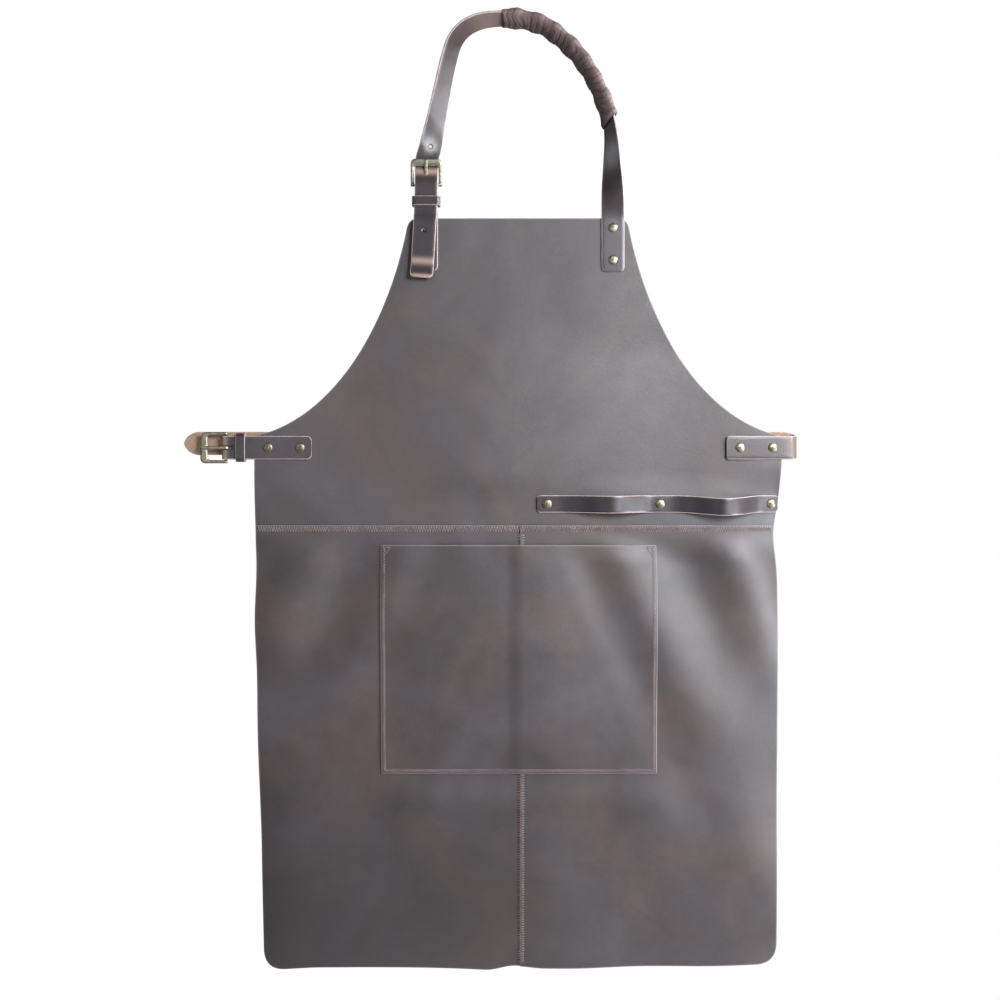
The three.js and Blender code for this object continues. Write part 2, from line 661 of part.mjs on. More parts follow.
function addBuckles() {
  const [x, z] = [new THREE.Vector3(1, 0, 0), new THREE.Vector3(0, 0, 1)];
  const tabHalf = TAB_HALF_GAP + STRAP_T;
  const neckOrigin = new THREE.Vector3(NECK.tabX, 0, NECK.heelZ);
  const neckKeeper = NECK.heelZ - NECK.keeperTop;
  addBuckle('neck', neckOrigin, x, z, rad(NECK.tilt), neckKeeper, tabHalf + STRAP_T + 1.3);
  const waistOrigin = new THREE.Vector3(WAIST.heelX, 0, WAIST.z);
  addBuckle('waist', waistOrigin, z, x.clone().negate(), 0, WAIST.keeperNear, tabHalf + 0.5);
}

function addRivets() {
  const tabFace = TAB_HALF_GAP + STRAP_T;
  for (const { name, x, z, tab } of rivetPlaces()) {
    const layer = name.startsWith('tool') ? TOOL.thickness : STRAP_T;
    rivet(name, x, z, tab ? -tabFace : STRAP_Y - layer, tab ? tabFace : BIB_Y);
  }
}

addPanels();
addStraps();
addBuckles();
addRivets();

export default apron;
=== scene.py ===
import json
import math

import bmesh
import bpy
import numpy as np
from mathutils import Matrix, Vector, geometry


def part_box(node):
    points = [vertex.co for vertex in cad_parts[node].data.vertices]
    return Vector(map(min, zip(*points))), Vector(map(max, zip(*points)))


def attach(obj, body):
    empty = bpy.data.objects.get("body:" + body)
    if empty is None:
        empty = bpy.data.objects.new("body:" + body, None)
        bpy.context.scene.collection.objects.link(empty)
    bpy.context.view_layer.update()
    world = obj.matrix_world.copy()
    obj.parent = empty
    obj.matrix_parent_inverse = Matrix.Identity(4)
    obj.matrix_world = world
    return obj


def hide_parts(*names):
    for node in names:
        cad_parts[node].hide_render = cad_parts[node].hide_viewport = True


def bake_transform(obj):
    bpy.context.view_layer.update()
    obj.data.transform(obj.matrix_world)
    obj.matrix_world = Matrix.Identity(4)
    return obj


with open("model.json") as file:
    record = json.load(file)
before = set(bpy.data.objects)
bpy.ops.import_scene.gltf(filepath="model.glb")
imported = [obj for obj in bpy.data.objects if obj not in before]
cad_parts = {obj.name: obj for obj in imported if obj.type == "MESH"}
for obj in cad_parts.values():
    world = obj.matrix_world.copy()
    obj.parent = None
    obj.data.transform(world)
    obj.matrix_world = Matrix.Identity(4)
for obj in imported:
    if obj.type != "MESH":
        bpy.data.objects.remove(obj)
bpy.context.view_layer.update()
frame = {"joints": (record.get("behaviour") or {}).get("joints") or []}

MM = 0.001

# ---------- driving dimensions, in millimetres ----------
BODY_T = 1.8  # bib, skirt and pocket leather
STRAP_T = 2.6
STRAP_W = 27.0
NECK_W = 26.5
TOOL_T = 2.4
GAP = 0.3
SHEET_STEP = 4.0  # spacing of the points on a panel
EDGE_STEPS = (0.6, 1.7)  # rings of points just inside a panel's edge
EDGE_BULGE = 0.35
CENTRE_LAP = 12.0  # how far the left skirt panel runs behind the right one
HEM_RADIUS = 25.0
POCKET_BOW = 5.0
STITCH = {"pitch": 2.9, "width": 6.6, "pocket_width": 3.8, "thread": 0.34, "arch": 0.45, "dip": 0.5}
RIVET = {"head": 5.25, "flange": 4.6, "rise": 1.6}
BUCKLE = {"across": 36.0, "reach": 29.5, "arm": 3.8, "bar": 8.5, "thickness": 3.0, "heel": 1.5}
PRONG = {"width": 3.6, "thickness": 2.1, "reach": 30.0}
TAB = {"reach": 99.0, "slot": 4.6, "front_slot": 9.0, "back_slot": 3.5}
KEEPER = {"length": 10.8, "wall": 1.8, "radius": 2.2}
HOLE_R = 2.0
WAIST_HOLES = {"count": 6, "pitch": 33.0, "from_tip": 57.0}
WAIST_TIP = 19.0  # length of the waist strap's pointed end
WAIST_RISE = 26.0  # the free run's rise is spread over this much of the strap, from the fold on
NECK_HOLES = (-146.5, -211.5, -244.5)  # heights
NECK_TILT = math.radians(12)  # how far the pull of the strap turns the neck buckle to the front
TOOL_LOOPS = {"flat": 8.0, "bows": (15.0, 18.0), "sags": (0.8, 3.4), "crest": 1.3}


# ---------- places taken from the frame ----------
def span(node):
    """Lowest and highest corner of a CAD node in millimetres."""
    low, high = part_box(node)
    return np.array(low) / MM, np.array(high) / MM


def joint_place(name):
    joint = next(j for j in frame["joints"] if j["name"] == name)
    return np.array(joint["pos_m"]) / MM


BIB_LOW, BIB_HIGH = span("bib_panel")
SKIRT_LOW, SKIRT_HIGH = span("skirt_panel_left")
RIGHT_LOW, RIGHT_HIGH = span("skirt_panel_right")
POCKET_LOW, POCKET_HIGH = span("pocket_panel")
SEAM_TOP = SKIRT_HIGH[2]
HEM = SKIRT_LOW[2]
SIDE = RIGHT_HIGH[0]
CENTRE_EDGE = RIGHT_LOW[0]
NECK_HEEL = joint_place("neck_frame_tilt")
WAIST_HEEL = joint_place("waist_frame_tilt")
FOLD = joint_place("waist_strap_swing")


# ---------- small helpers ----------
def smooth(low, high, value):
    t = np.clip((np.asarray(value, float) - low) / (high - low), 0, 1)
    return t * t * (3 - 2 * t)


def ripple(seed, wavelength, *axes):
    """Smooth random waves from about -1 to 1, the same on every run."""
    rng = np.random.default_rng(seed)
    total = 0
    for _ in range(7):
        direction = rng.normal(size=len(axes))
        direction /= np.linalg.norm(direction)
        length = wavelength * rng.uniform(0.6, 1.7)
        phase = sum(d * a for d, a in zip(direction, axes)) * 2 * math.pi / length
        total = total + np.sin(phase + rng.uniform(0, 2 * math.pi))
    return total / 3.5


def curve(*control, step=SHEET_STEP):
    """Points along a Bezier curve with any number of control points, its last point left out."""
    control = np.array(control, float)
    length = np.linalg.norm(np.diff(control, axis=0), axis=1).sum()
    count = max(6 if len(control) > 2 else 1, round(length / step))
    t = np.arange(count)[:, None] / count
    order = len(control) - 1
    return sum(math.comb(order, k) * (1 - t) ** (order - k) * t**k * p for k, p in enumerate(control))


def unit(vectors):
    return vectors / np.linalg.norm(vectors, axis=-1, keepdims=True)


def directions(line):
    return unit(np.gradient(line, axis=0))


def distances(points):
    """How far along the line through them each of the points lies."""
    return np.concatenate([[0], np.cumsum(np.linalg.norm(np.diff(points, axis=0), axis=1))])


def bell(value, centre, width):
    return np.exp(-(((value - centre) / width) ** 2))


def round_angles(count):
    return np.arange(count) * 2 * math.pi / count


def arc(radius, angles):
    return np.stack([radius * np.cos(angles), radius * np.sin(angles)], 1)


def signed_power(values, power):
    return np.sign(values) * np.abs(values) ** power


def ring_faces(rings, count, start=0, closed=False):
    """Faces between rings of points that follow each other, and both ends unless it is closed."""
    faces = []
    for ring in range(rings if closed else rings - 1):
        a, b = start + ring * count, start + (ring + 1) % rings * count
        for i in range(count):
            j = (i + 1) % count
            faces.append([a + i, a + j, b + j, b + i])
    if not closed:
        end = start + rings * count
        faces += [list(range(start, start + count)), list(range(end - 1, end - count - 1, -1))]
    return faces


def make_piece(name, points, faces, materials, slots=None, **tints):
    """A mesh from points in millimetres. Each tint is one number for each point."""
    mesh = bpy.data.meshes.new(name)
    mesh.from_pydata((np.asarray(points, float) * MM).tolist(), [], faces)
    for material in materials:
        mesh.materials.append(material)
    if slots is not None:
        mesh.polygons.foreach_set("material_index", slots)
    for key, values in tints.items():
        attribute = mesh.attributes.new(key, "FLOAT", "POINT")
        attribute.data.foreach_set("value", np.asarray(values, np.float32))
    shell = bmesh.new()
    shell.from_mesh(mesh)
    bmesh.ops.recalc_face_normals(shell, faces=shell.faces)
    shell.to_mesh(mesh)
    shell.free()
    mesh.shade_smooth()
    piece = bpy.data.objects.new(name, mesh)
    bpy.context.scene.collection.objects.link(piece)
    return piece


def finish_piece(piece, body, slot, *nodes):
    """The piece stands for the CAD nodes and moves with the body."""
    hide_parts(*nodes)
    if body:
        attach(piece, body)


def punch(piece, cutters):
    """Cuts the shapes out of the piece."""
    for cutter in cutters:
        modifier = piece.modifiers.new("cut", "BOOLEAN")
        modifier.operation = "DIFFERENCE"
        modifier.solver = "EXACT"
        modifier.object = cutter
    bpy.context.view_layer.update()
    seen = piece.evaluated_get(bpy.context.evaluated_depsgraph_get())
    cut = bpy.data.meshes.new_from_object(seen)
    piece.modifiers.clear()
    piece.data = cut
    for cutter in cutters:
        bpy.data.objects.remove(cutter)


def drill(centre, axis, depth=8.0, sides=20):
    """A round bar through centre, for cutting a strap's hole."""
    turn = np.array(Vector(axis).to_track_quat("Z", "Y").to_matrix())
    ring = np.column_stack([arc(HOLE_R, round_angles(sides)), np.zeros(sides)])
    ends = [ring + [0, 0, side * depth / 2] for side in (-1, 1)]
    points = np.vstack(ends) @ turn.T + np.asarray(centre)
    return make_piece("drill", points, ring_faces(2, sides), [STRAP_EDGE])


# ---------- materials ----------
def shader(name, roughness, metallic=0.0, specular=0.5):
    material = bpy.data.materials.new(name)
    material.use_nodes = True
    tree = material.node_tree
    principled = tree.nodes["Principled BSDF"]
    principled.inputs["Roughness"].default_value = roughness
    principled.inputs["Metallic"].default_value = metallic
    principled.inputs["Specular IOR Level"].default_value = specular
    return material, tree, principled


def place_node(tree, stretch=(1, 1, 1)):
    """Position on the object in millimetres."""
    source = tree.nodes.new("ShaderNodeTexCoord")
    mapping = tree.nodes.new("ShaderNodeMapping")
    mapping.inputs["Scale"].default_value = [s / MM for s in stretch]
    tree.links.new(source.outputs["Object"], mapping.inputs["Vector"])
    return mapping.outputs["Vector"]


def noise_node(tree, place, size, detail=3.0, rough=0.55, distortion=0.0):
    node = tree.nodes.new("ShaderNodeTexNoise")
    node.inputs["Scale"].default_value = 1 / size
    node.inputs["Detail"].default_value = detail
    node.inputs["Roughness"].default_value = rough
    node.inputs["Distortion"].default_value = distortion
    tree.links.new(place, node.inputs["Vector"])
    return node.outputs["Fac"]


def cell_node(tree, place, size):
    node = tree.nodes.new("ShaderNodeTexVoronoi")
    node.inputs["Scale"].default_value = 1 / size
    tree.links.new(place, node.inputs["Vector"])
    return node.outputs["Distance"]


def ramp_node(tree, value, *stops):
    """stops are (position, colour or grey level)."""
    node = tree.nodes.new("ShaderNodeValToRGB")
    ramp = node.color_ramp
    while len(ramp.elements) < len(stops):
        ramp.elements.new(0.5)
    for element, (position, level) in zip(ramp.elements, stops):
        element.position = position
        element.color = (*level, 1) if isinstance(level, tuple) else (level, level, level, 1)
    tree.links.new(value, node.inputs["Fac"])
    return node.outputs["Color"]


def mix_node(tree, factor, first, second, blend="MIX"):
    node = tree.nodes.new("ShaderNodeMix")
    node.data_type = "RGBA"
    node.blend_type = blend
    for socket, value in ((node.inputs[0], factor), (node.inputs[6], first), (node.inputs[7], second)):
        if isinstance(value, bpy.types.NodeSocket):
            tree.links.new(value, socket)
        else:
            socket.default_value = (*value, 1) if isinstance(value, tuple) else value
    return node.outputs[2]


def tint_node(tree, name):
    node = tree.nodes.new("ShaderNodeAttribute")
    node.attribute_name = name
    return node.outputs["Fac"]


def bump_node(tree, principled, *layers):
    """layers are (height socket, depth in millimetres)."""
    normal = None
    for height, depth in layers:
        node = tree.nodes.new("ShaderNodeBump")
        node.inputs["Distance"].default_value = depth * MM
        tree.links.new(height, node.inputs["Height"])
        if normal:
            tree.links.new(normal, node.inputs["Normal"])
        normal = node.outputs["Normal"]
    tree.links.new(normal, principled.inputs["Normal"])


def leather(name, dark, mid, light, warm, pale, roughness=0.5, grain=1.3, specular=1.0):
    """Waxed pull-up leather: cloudy tone, warm patches, scuffs, and paler where it is bent or cut; its two
    tints also carry painted highlight and painted shade.
    """
    material, tree, principled = shader(name, roughness, specular=specular)
    place = place_node(tree)
    cloud = noise_node(tree, place, 150, 4, 0.55, 0.8)
    tone = ramp_node(tree, cloud, (0.36, dark), (0.5, mid), (0.64, light))
    patch = ramp_node(tree, noise_node(tree, place, 130, 4, 0.55, 0.8), (0.44, 0.0), (0.64, 0.7))
    tone = mix_node(tree, patch, tone, warm)
    mottle = ramp_node(tree, noise_node(tree, place, 9, 5, 0.65, 0.4), (0.25, 0.89), (0.75, 1.11))
    for stretch in ((0.06, 1, 1), (1, 1, 0.05)):
        scuff = noise_node(tree, place_node(tree, stretch), 1.5, 2, 0.5)
        tone = mix_node(tree, ramp_node(tree, scuff, (0.72, 0.0), (0.8, 0.12)), tone, pale)
    tone = mix_node(tree, 1.0, tone, mottle, "MULTIPLY")
    cells = cell_node(tree, place, grain)
    fine = noise_node(tree, place, grain * 0.5, 4, 0.6)
    speck = ramp_node(tree, cells, (0.1, 1.03), (0.75, 0.9))
    tone = mix_node(tree, 0.6, tone, speck, "MULTIPLY")
    # paler where worn or bent, and painted highlight where the sleeve and the neck strap's crown are made
    # paler
    tone = mix_node(tree, tint_node(tree, "wear"), tone, pale)
    # painted shade: darker in the sleeve's creases, on the tool loops' left flanks and towards the skirt's
    # bottom left
    tone = mix_node(tree, tint_node(tree, "dirt"), tone, tuple(0.25 * c for c in dark))
    tree.links.new(tone, principled.inputs["Base Color"])
    gloss = noise_node(tree, place, 26, 4, 0.6)
    rough = ramp_node(tree, gloss, (0.3, roughness - 0.04), (0.7, roughness + 0.04))
    tree.links.new(rough, principled.inputs["Roughness"])
    crease = noise_node(tree, place_node(tree, (1, 1, 1.3)), 5.5, 5, 0.6, 1.2)
    bump_node(tree, principled, (crease, 0.10), (cells, 0.035), (fine, 0.03))
    return material


def flesh_side(name, dark, light):
    """The fuzzy inner side of the hide."""
    material, tree, principled = shader(name, 0.85, specular=0.25)
    principled.inputs["Sheen Weight"].default_value = 0.25
    place = place_node(tree)
    tone = ramp_node(tree, noise_node(tree, place, 22, 6, 0.7, 0.8), (0.3, dark), (0.7, light))
    nap = noise_node(tree, place_node(tree, (1, 1, 0.35)), 1.1, 5, 0.75, 0.5)
    tone = mix_node(tree, 1.0, tone, ramp_node(tree, nap, (0.3, 0.78), (0.7, 1.15)), "MULTIPLY")
    tree.links.new(tone, principled.inputs["Base Color"])
    bump_node(tree, principled, (nap, 0.35))
    return material


def two_tone(name, dark, light, roughness, cloud, grain=None, specular=0.5):
    """A cloudy mix of two tones. cloud is a noise's size and detail, and grain adds a bump's depth."""
    material, tree, principled = shader(name, roughness, specular=specular)
    place = place_node(tree)
    tone = ramp_node(tree, noise_node(tree, place, *cloud), (0.3, dark), (0.7, light))
    tree.links.new(tone, principled.inputs["Base Color"])
    if grain:
        *fine, depth = grain
        bump_node(tree, principled, (noise_node(tree, place, *fine), depth))
    return material


def aged_brass():
    material, tree, principled = shader("aged_brass", 0.32, metallic=1.0)
    place = place_node(tree)
    tarnish = noise_node(tree, place, 3.2, 5, 0.65, 0.6)
    tone = ramp_node(tree, tarnish, (0.3, (0.20, 0.18, 0.12)), (0.5, (0.36, 0.335, 0.24)),
                     (0.72, (0.54, 0.51, 0.39)))
    tone = mix_node(tree, tint_node(tree, "dirt"), tone, (0.07, 0.055, 0.03))
    tree.links.new(tone, principled.inputs["Base Color"])
    rough = ramp_node(tree, noise_node(tree, place, 1.6, 4), (0.3, 0.32), (0.7, 0.5))
    tree.links.new(rough, principled.inputs["Roughness"])
    bump_node(tree, principled, (noise_node(tree, place, 0.7, 4), 0.05), (tarnish, 0.12))
    return material


BODY = leather("body_leather", (0.043, 0.029, 0.028), (0.056, 0.040, 0.040), (0.068, 0.054, 0.060),
               (0.085, 0.055, 0.045), (0.26, 0.20, 0.185))
STRAP = leather("strap_leather", (0.026, 0.018, 0.019), (0.04, 0.029, 0.031), (0.06, 0.046, 0.05),
                (0.055, 0.032, 0.027), (0.50, 0.33, 0.26), roughness=0.35, grain=1.0, specular=0.85)
SLEEVE_LEATHER = leather("sleeve_leather", (0.07, 0.038, 0.036), (0.10, 0.062, 0.06), (0.14, 0.096, 0.095),
                         (0.15, 0.085, 0.075), (0.34, 0.24, 0.22), roughness=0.58, grain=0.9, specular=0.5)
FLESH = flesh_side("flesh_side", (0.36, 0.22, 0.145), (0.54, 0.36, 0.25))
BODY_FLESH = flesh_side("body_flesh_side", (0.17, 0.125, 0.105), (0.27, 0.205, 0.175))
CUT = {"roughness": 0.5, "cloud": (4, 5, 0.7), "grain": (0.8, 3, 0.15)}  # the burnished edge of a hide
EDGE = two_tone("body_cut_edge", (0.20, 0.175, 0.17), (0.36, 0.32, 0.31), **CUT)
STRAP_EDGE = two_tone("strap_cut_edge", (0.34, 0.25, 0.235), (0.62, 0.50, 0.47), **CUT)
THREAD = two_tone("sewing_thread", (0.21, 0.155, 0.145), (0.37, 0.28, 0.265), 0.7, (14, 4), (0.35, 2, 0.12),
                  specular=0.3)
BRASS = aged_brass()


# ---------- how the leather hangs ----------
def right_edge(x):
    """From 0 to 1 over the last 65 mm before the right side edge."""
    return np.clip((x - 235) / 65, 0, 1) ** 2


def bib_lift(x, z):
    """How far the bib's leather stands to the front: a low crest down its middle, flat at hardware."""
    free = smooth(-330, -390, z) * smooth(-560, -520, z)
    sides = 1 - smooth(150, 290, np.abs(x))
    crest = 4 - 0.05 * (np.sqrt((x + 32) ** 2 + 20**2) - 20)
    edge = -7 * right_edge(x) * smooth(-512, -560, z)
    return free * sides * (0.75 * crest + 0.5 * ripple(3, 230, x, z)) + edge + 0.12 * ripple(4, 60, x, z)


def fan(place, wavelength, crest, near, far, z):
    """Folds that run down and outwards from the waist seam and fade out lower down."""
    fade = smooth(SEAM_TOP - 5, SEAM_TOP - 45, z) * (1 - 0.75 * smooth(-720, -860, z))
    return np.cos(2 * math.pi * (place - crest) / wavelength) * smooth(near, far, place) * fade


def skirt_lift(x, z):
    """Folds fanning out from the waist seam, edges that fall back and a hem that waves."""
    up = z + 602  # from the height at which the folds' crests are placed
    # folds on the right and on the left: wavelength, a crest's place and where they fade in
    right = 4.6 * fan(x + 0.44 * up, 140, 114, 30, 110, z)
    left = 3.6 * fan(0.5 * up - x, 115, 116, 60, 130, z)
    left = left * (1 - 0.6 * smooth(-660, -760, z))
    # the right edge falls back, the hem curls back and so does the left edge
    side = -10 * right_edge(x) * (1.2 - 0.75 * smooth(-680, -860, z))
    tuck = -21 * np.clip((-840 - z) / 254, 0, 1) ** 2 * (1 - 0.65 * smooth(-260, 240, x))
    tuck = tuck - 3 * np.clip((-250 - x) / 50, 0, 1) ** 2 * smooth(-640, -760, z)
    # a swell across the leather over the hem, waves along it and small unevenness
    band = 3.0 * bell(z, -905, 28) * smooth(-190, -110, x) * (1 - smooth(140, 220, x))
    wave = smooth(-880, -1060, z) * 1.6 * np.sin(x / 41 + 0.7)
    uneven = 0.7 * ripple(8, 190, x, z)
    return right + left + side + tuck + band + wave + uneven + 0.15 * ripple(9, 55, x, z)


def lift(x, z):
    x, z = np.asarray(x, float), np.asarray(z, float)
    below = smooth(SEAM_TOP + 25, SEAM_TOP - 25, z)
    return (1 - below) * bib_lift(x, z) + below * skirt_lift(x, z)


def side_shift(x, z):
    """The side edges wave in and out a little: wide at the waist strap, drawn in at the seam."""
    left = -1.5 * bell(z, -575, 60) - 2.6 * bell(z, -690, 45) + 4.5 * smooth(-790, -960, z)
    right = -4.6 * bell(z, -590, 32) - 1.4 * smooth(-700, -900, z)
    across = np.clip(x / SIDE, -1, 1)
    return smooth(-500, -530, z) * np.where(across < 0, left * across**2, right * across**2)


def hem_drop(x, z, left_panel):
    """The hem isn't level: the left panel hangs a few millimetres lower."""
    if left_panel:
        drop = 4.6 - 2.0 * np.sin((x + 330) / 95) + 3.0 * smooth(-230, -300, x) - 6.6 * smooth(-38, -2, x)
    else:
        drop = 0.6 - 1.8 * smooth(30, 2, x) - 2.6 * smooth(60, 150, x) - 2.4 * smooth(200, 290, x)
    return smooth(-885, HEM, z) * drop


def hang(x, z, depth, left_panel=False):
    """From the flat pattern to where the leather hangs. depth is how far it lies behind y = 0."""
    x, z = np.asarray(x, float), np.asarray(z, float)
    return np.stack([x + side_shift(x, z), depth - lift(x, z), z - hem_drop(x, z, left_panel)], -1)


BIB_FRONT = -BODY_T / 2
SKIRT_FRONT = BIB_FRONT - GAP - BODY_T


def right_skirt_front(x):
    """The right panel steps over the left one along the centre seam, then settles to its level."""
    lap_end = CENTRE_EDGE + CENTRE_LAP
    return SKIRT_FRONT - (BODY_T + GAP) * (1 - smooth(lap_end + 1, lap_end + 85, x))


def pocket_front(x, z):
    left, right = POCKET_LOW[0], POCKET_HIGH[0]
    across = np.clip((2 * x - left - right) / (right - left), -1, 1)
    down = np.clip((POCKET_HIGH[2] - z) / (POCKET_HIGH[2] - POCKET_LOW[2]), 0, 1)
    bow = POCKET_BOW * (1 - across**2) * (1 - down**3)
    beside = x - CENTRE_EDGE
    step = smooth(-16, 3, beside) * (1 - smooth(12, 100, beside))
    return SKIRT_FRONT - GAP - BODY_T - (BODY_T + GAP) * step - bow


# ---------- panels ----------
def inset(outline, distance):
    along = unit(np.roll(outline, -1, 0) - np.roll(outline, 1, 0))
    return outline + np.stack([-along[:, 1], along[:, 0]], 1) * distance


def inside(points, outline):
    x, z = points.T
    hit = np.zeros(len(points), bool)
    for (x0, z0), (x1, z1) in zip(outline, np.roll(outline, -1, 0)):
        if z0 != z1:
            hit ^= ((z0 > z) != (z1 > z)) & (x < (x1 - x0) * (z - z0) / (z1 - z0) + x0)
    return hit


def filled(outline):
    """Points and triangles inside an outline, and each point's ring, counted inwards, and origin."""
    rings = [outline, *(inset(outline, d) for d in EDGE_STEPS)]
    core = inset(outline, EDGE_STEPS[-1] + 0.7 * SHEET_STEP)
    low, high = outline.min(0), outline.max(0)
    row_step = SHEET_STEP * math.sqrt(3) / 2
    columns = np.arange(low[0], high[0], SHEET_STEP)
    x, z = np.meshgrid(columns, np.arange(low[1], high[1], row_step))
    x[1::2] += SHEET_STEP / 2
    grid = np.stack([x.ravel(), z.ravel()], 1)
    grid = grid[inside(grid, core)]
    count = len(outline)
    points = np.vstack([*rings, grid])
    loops = [[k * count + i for i in range(count)] for k in range(len(rings))]
    edges = [(a, b) for loop in loops for a, b in zip(loop, loop[1:] + loop[:1])]
    made = geometry.delaunay_2d_cdt([Vector(p) for p in points], edges, [loops[0]], 1, 1e-5)
    source = np.array([origin[0] if origin else len(points) for origin in made[3]])
    ring = np.minimum(source // count, len(rings))
    return np.array(made[0]), made[2], ring, source


def panel(name, outline, place, wear):
    """A sheet of leather with rounded cut edges. place(x, z, depth) puts a flat point in space."""
    flat, triangles, ring, source = filled(outline)
    count, total = len(outline), len(flat)
    sides = [place(flat[:, 0], flat[:, 1], depth) for depth in (0.0, BODY_T)]
    rim_flat = inset(outline, -EDGE_BULGE)
    rims = [place(rim_flat[:, 0], rim_flat[:, 1], share * BODY_T) for share in (0.25, 0.75)]
    at = {origin: i for i, origin in enumerate(source)}
    edge = np.array([at[i] for i in range(count)])
    rim = 2 * total + np.arange(count)
    faces = [list(t) for t in triangles] + [[total + i for i in reversed(t)] for t in triangles]
    slots = [0] * len(triangles) + [1] * len(triangles) + [2] * (3 * count)
    for upper, lower in ((edge, rim), (rim, rim + count), (rim + count, edge + total)):
        faces += np.stack([upper, lower, np.roll(lower, -1), np.roll(upper, -1)], 1).tolist()
    pale = np.choose(np.minimum(ring, 2), (wear, 0.55 * wear, 0.0))
    pale = np.concatenate([pale, pale, np.full(2 * count, wear)])
    points = np.vstack([*sides, *rims])
    # painted shade: the skirt is darkened towards its bottom left
    low_left_shade = 0.65 * smooth(-850, -1050, points[:, 2]) * (1 - smooth(-260, 160, points[:, 0]))
    return make_piece(name, points, faces, [BODY, BODY_FLESH, EDGE], slots, wear=pale, dirt=low_left_shade)


def bib_outline():
    """Both sides are one half and its mirror image: flank, turn at the waist, armhole, top corner."""
    top, top_half, corner = BIB_HIGH[2], 125.3, 11.0
    waist, waist_half, waist_z = 7.0, BIB_HIGH[0], -480.0
    flank, turn_in = (waist_half - 1, waist_z - waist), (waist_half - waist, waist_z + 1.5)
    shoulder = (top_half + 2.4, top - corner)
    right = [
        ((SIDE, BIB_LOW[2]), flank),
        (flank, (waist_half, waist_z), turn_in),
        (turn_in, (213, top - 228), (150, top - 125), shoulder),
        (shoulder, (top_half, top), (top_half - corner, top)),
    ]
    left = [tuple((-x, z) for x, z in reversed(part)) for part in reversed(right)]
    top_edge = ((top_half - corner, top), (corner - top_half, top))
    low_edge = ((-SIDE, BIB_LOW[2]), (SIDE, BIB_LOW[2]))
    return np.vstack([curve(*part, step=3) for part in (*right, top_edge, *left, low_edge)])


def box_outline(left, right, low, high, radii):
    """A rectangle with the radii of its corners: low left, low right, high right, high left."""
    corners = np.array([(left, low), (right, low), (right, high), (left, high)], float)
    towards = np.array([(1, 0), (0, 1), (-1, 0), (0, -1)])
    radii = np.maximum(radii, 1.0)
    parts = []
    for i, corner in enumerate(corners):
        after = (i + 1) % 4
        start, end = corner - towards[i - 1] * radii[i], corner + towards[i] * radii[i]
        parts.append(curve(start, corner, end, step=3))
        parts.append(curve(end, corners[after] - towards[i] * radii[after], step=3))
    return np.vstack(parts)


def build_panels():
    left_flat = box_outline(-SIDE, CENTRE_EDGE + CENTRE_LAP, HEM, SEAM_TOP, (HEM_RADIUS, 0, 0, 0))
    right_flat = box_outline(CENTRE_EDGE, SIDE, HEM, SEAM_TOP, (0, HEM_RADIUS, 0, 0))
    pocket_flat = box_outline(POCKET_LOW[0], POCKET_HIGH[0], POCKET_LOW[2], POCKET_HIGH[2], (2, 2, 2, 2))
    # name, CAD node, flat outline, place in space, what it rests on, how pale its edge is worn
    sheets = (
        ("bib", "bib_panel", bib_outline(), lambda x, z, d: hang(x, z, BIB_FRONT + d),
         ["neck_strap_leather", "neck_tab_leather"], 0.35),
        ("skirt_left", "skirt_panel_left", left_flat,
         lambda x, z, d: hang(x, z, SKIRT_FRONT + d, True), ["bib"], 0.5),
        ("skirt_right", "skirt_panel_right", right_flat,
         lambda x, z, d: hang(x, z, right_skirt_front(x) + d), ["bib"], 0.5),
        ("pocket", "pocket_panel", pocket_flat, lambda x, z, d: hang(x, z, pocket_front(x, z) + d),
         ["skirt_left", "skirt_right"], 0.5),
    )
    for name, node, outline, place, rests_on, wear in sheets:
        piece = panel(name, outline, place, wear)
        finish_piece(piece, "root", "body_leather", node)


# ---------- stitching ----------
def tube(points, radius, sides=5):
    """A thread along the points: rings of points and the faces between them."""
    tangent = directions(points)
    out = unit(np.cross(tangent, np.cross([0.0, -1.0, 0.0], tangent)))
    across = np.cross(tangent, out)
    rings = [points + radius * (math.cos(a) * out + math.sin(a) * across) for a in round_angles(sides)]
    return np.stack(rings, 1).reshape(-1, 3), ring_faces(len(points), sides)


def zigzag(start, end, width, seed):
    """Flat points of a zigzag between start and end, and each point's height over the leather."""
    start, end = np.array(start, float), np.array(end, float)
    along = unit(end - start)
    across = np.array([-along[1], along[0]])
    legs = max(2, round(np.linalg.norm(end - start) / (STITCH["pitch"] / 2)))
    rng = np.random.default_rng(seed)
    corners = [start + (end - start) * k / legs + across * width / 2 * (1 if k % 2 else -1)
               for k in range(legs + 1)]
    corners = np.array(corners) + rng.normal(0, 0.16, (legs + 1, 2))
    arch = STITCH["arch"]
    profile = ((0.0, -STITCH["dip"]), (0.1, 0.5 * arch), (0.5, arch), (0.9, 0.5 * arch))
    flat = [first + (second - first) * share for first, second in zip(corners, corners[1:])
            for share, _ in profile]
    return np.array(flat), np.array([rise for _ in range(legs) for _, rise in profile])


def sew(name, lines, front, node):
    """Zigzag seams as one piece. lines are (start, end, width); front(x, z) is the leather's face."""
    points, faces = [], []
    for seed, (start, end, width) in enumerate(lines):
        flat, height = zigzag(start, end, width, seed)
        depth = front(flat[:, 0], flat[:, 1]) - height
        grid, found = tube(hang(flat[:, 0], flat[:, 1], depth), STITCH["thread"])
        offset = sum(len(p) for p in points)
        points.append(grid)
        faces += [[offset + i for i in face] for face in found]
    finish_piece(make_piece(name, np.vstack(points), faces, [THREAD]), "root", "thread", node)


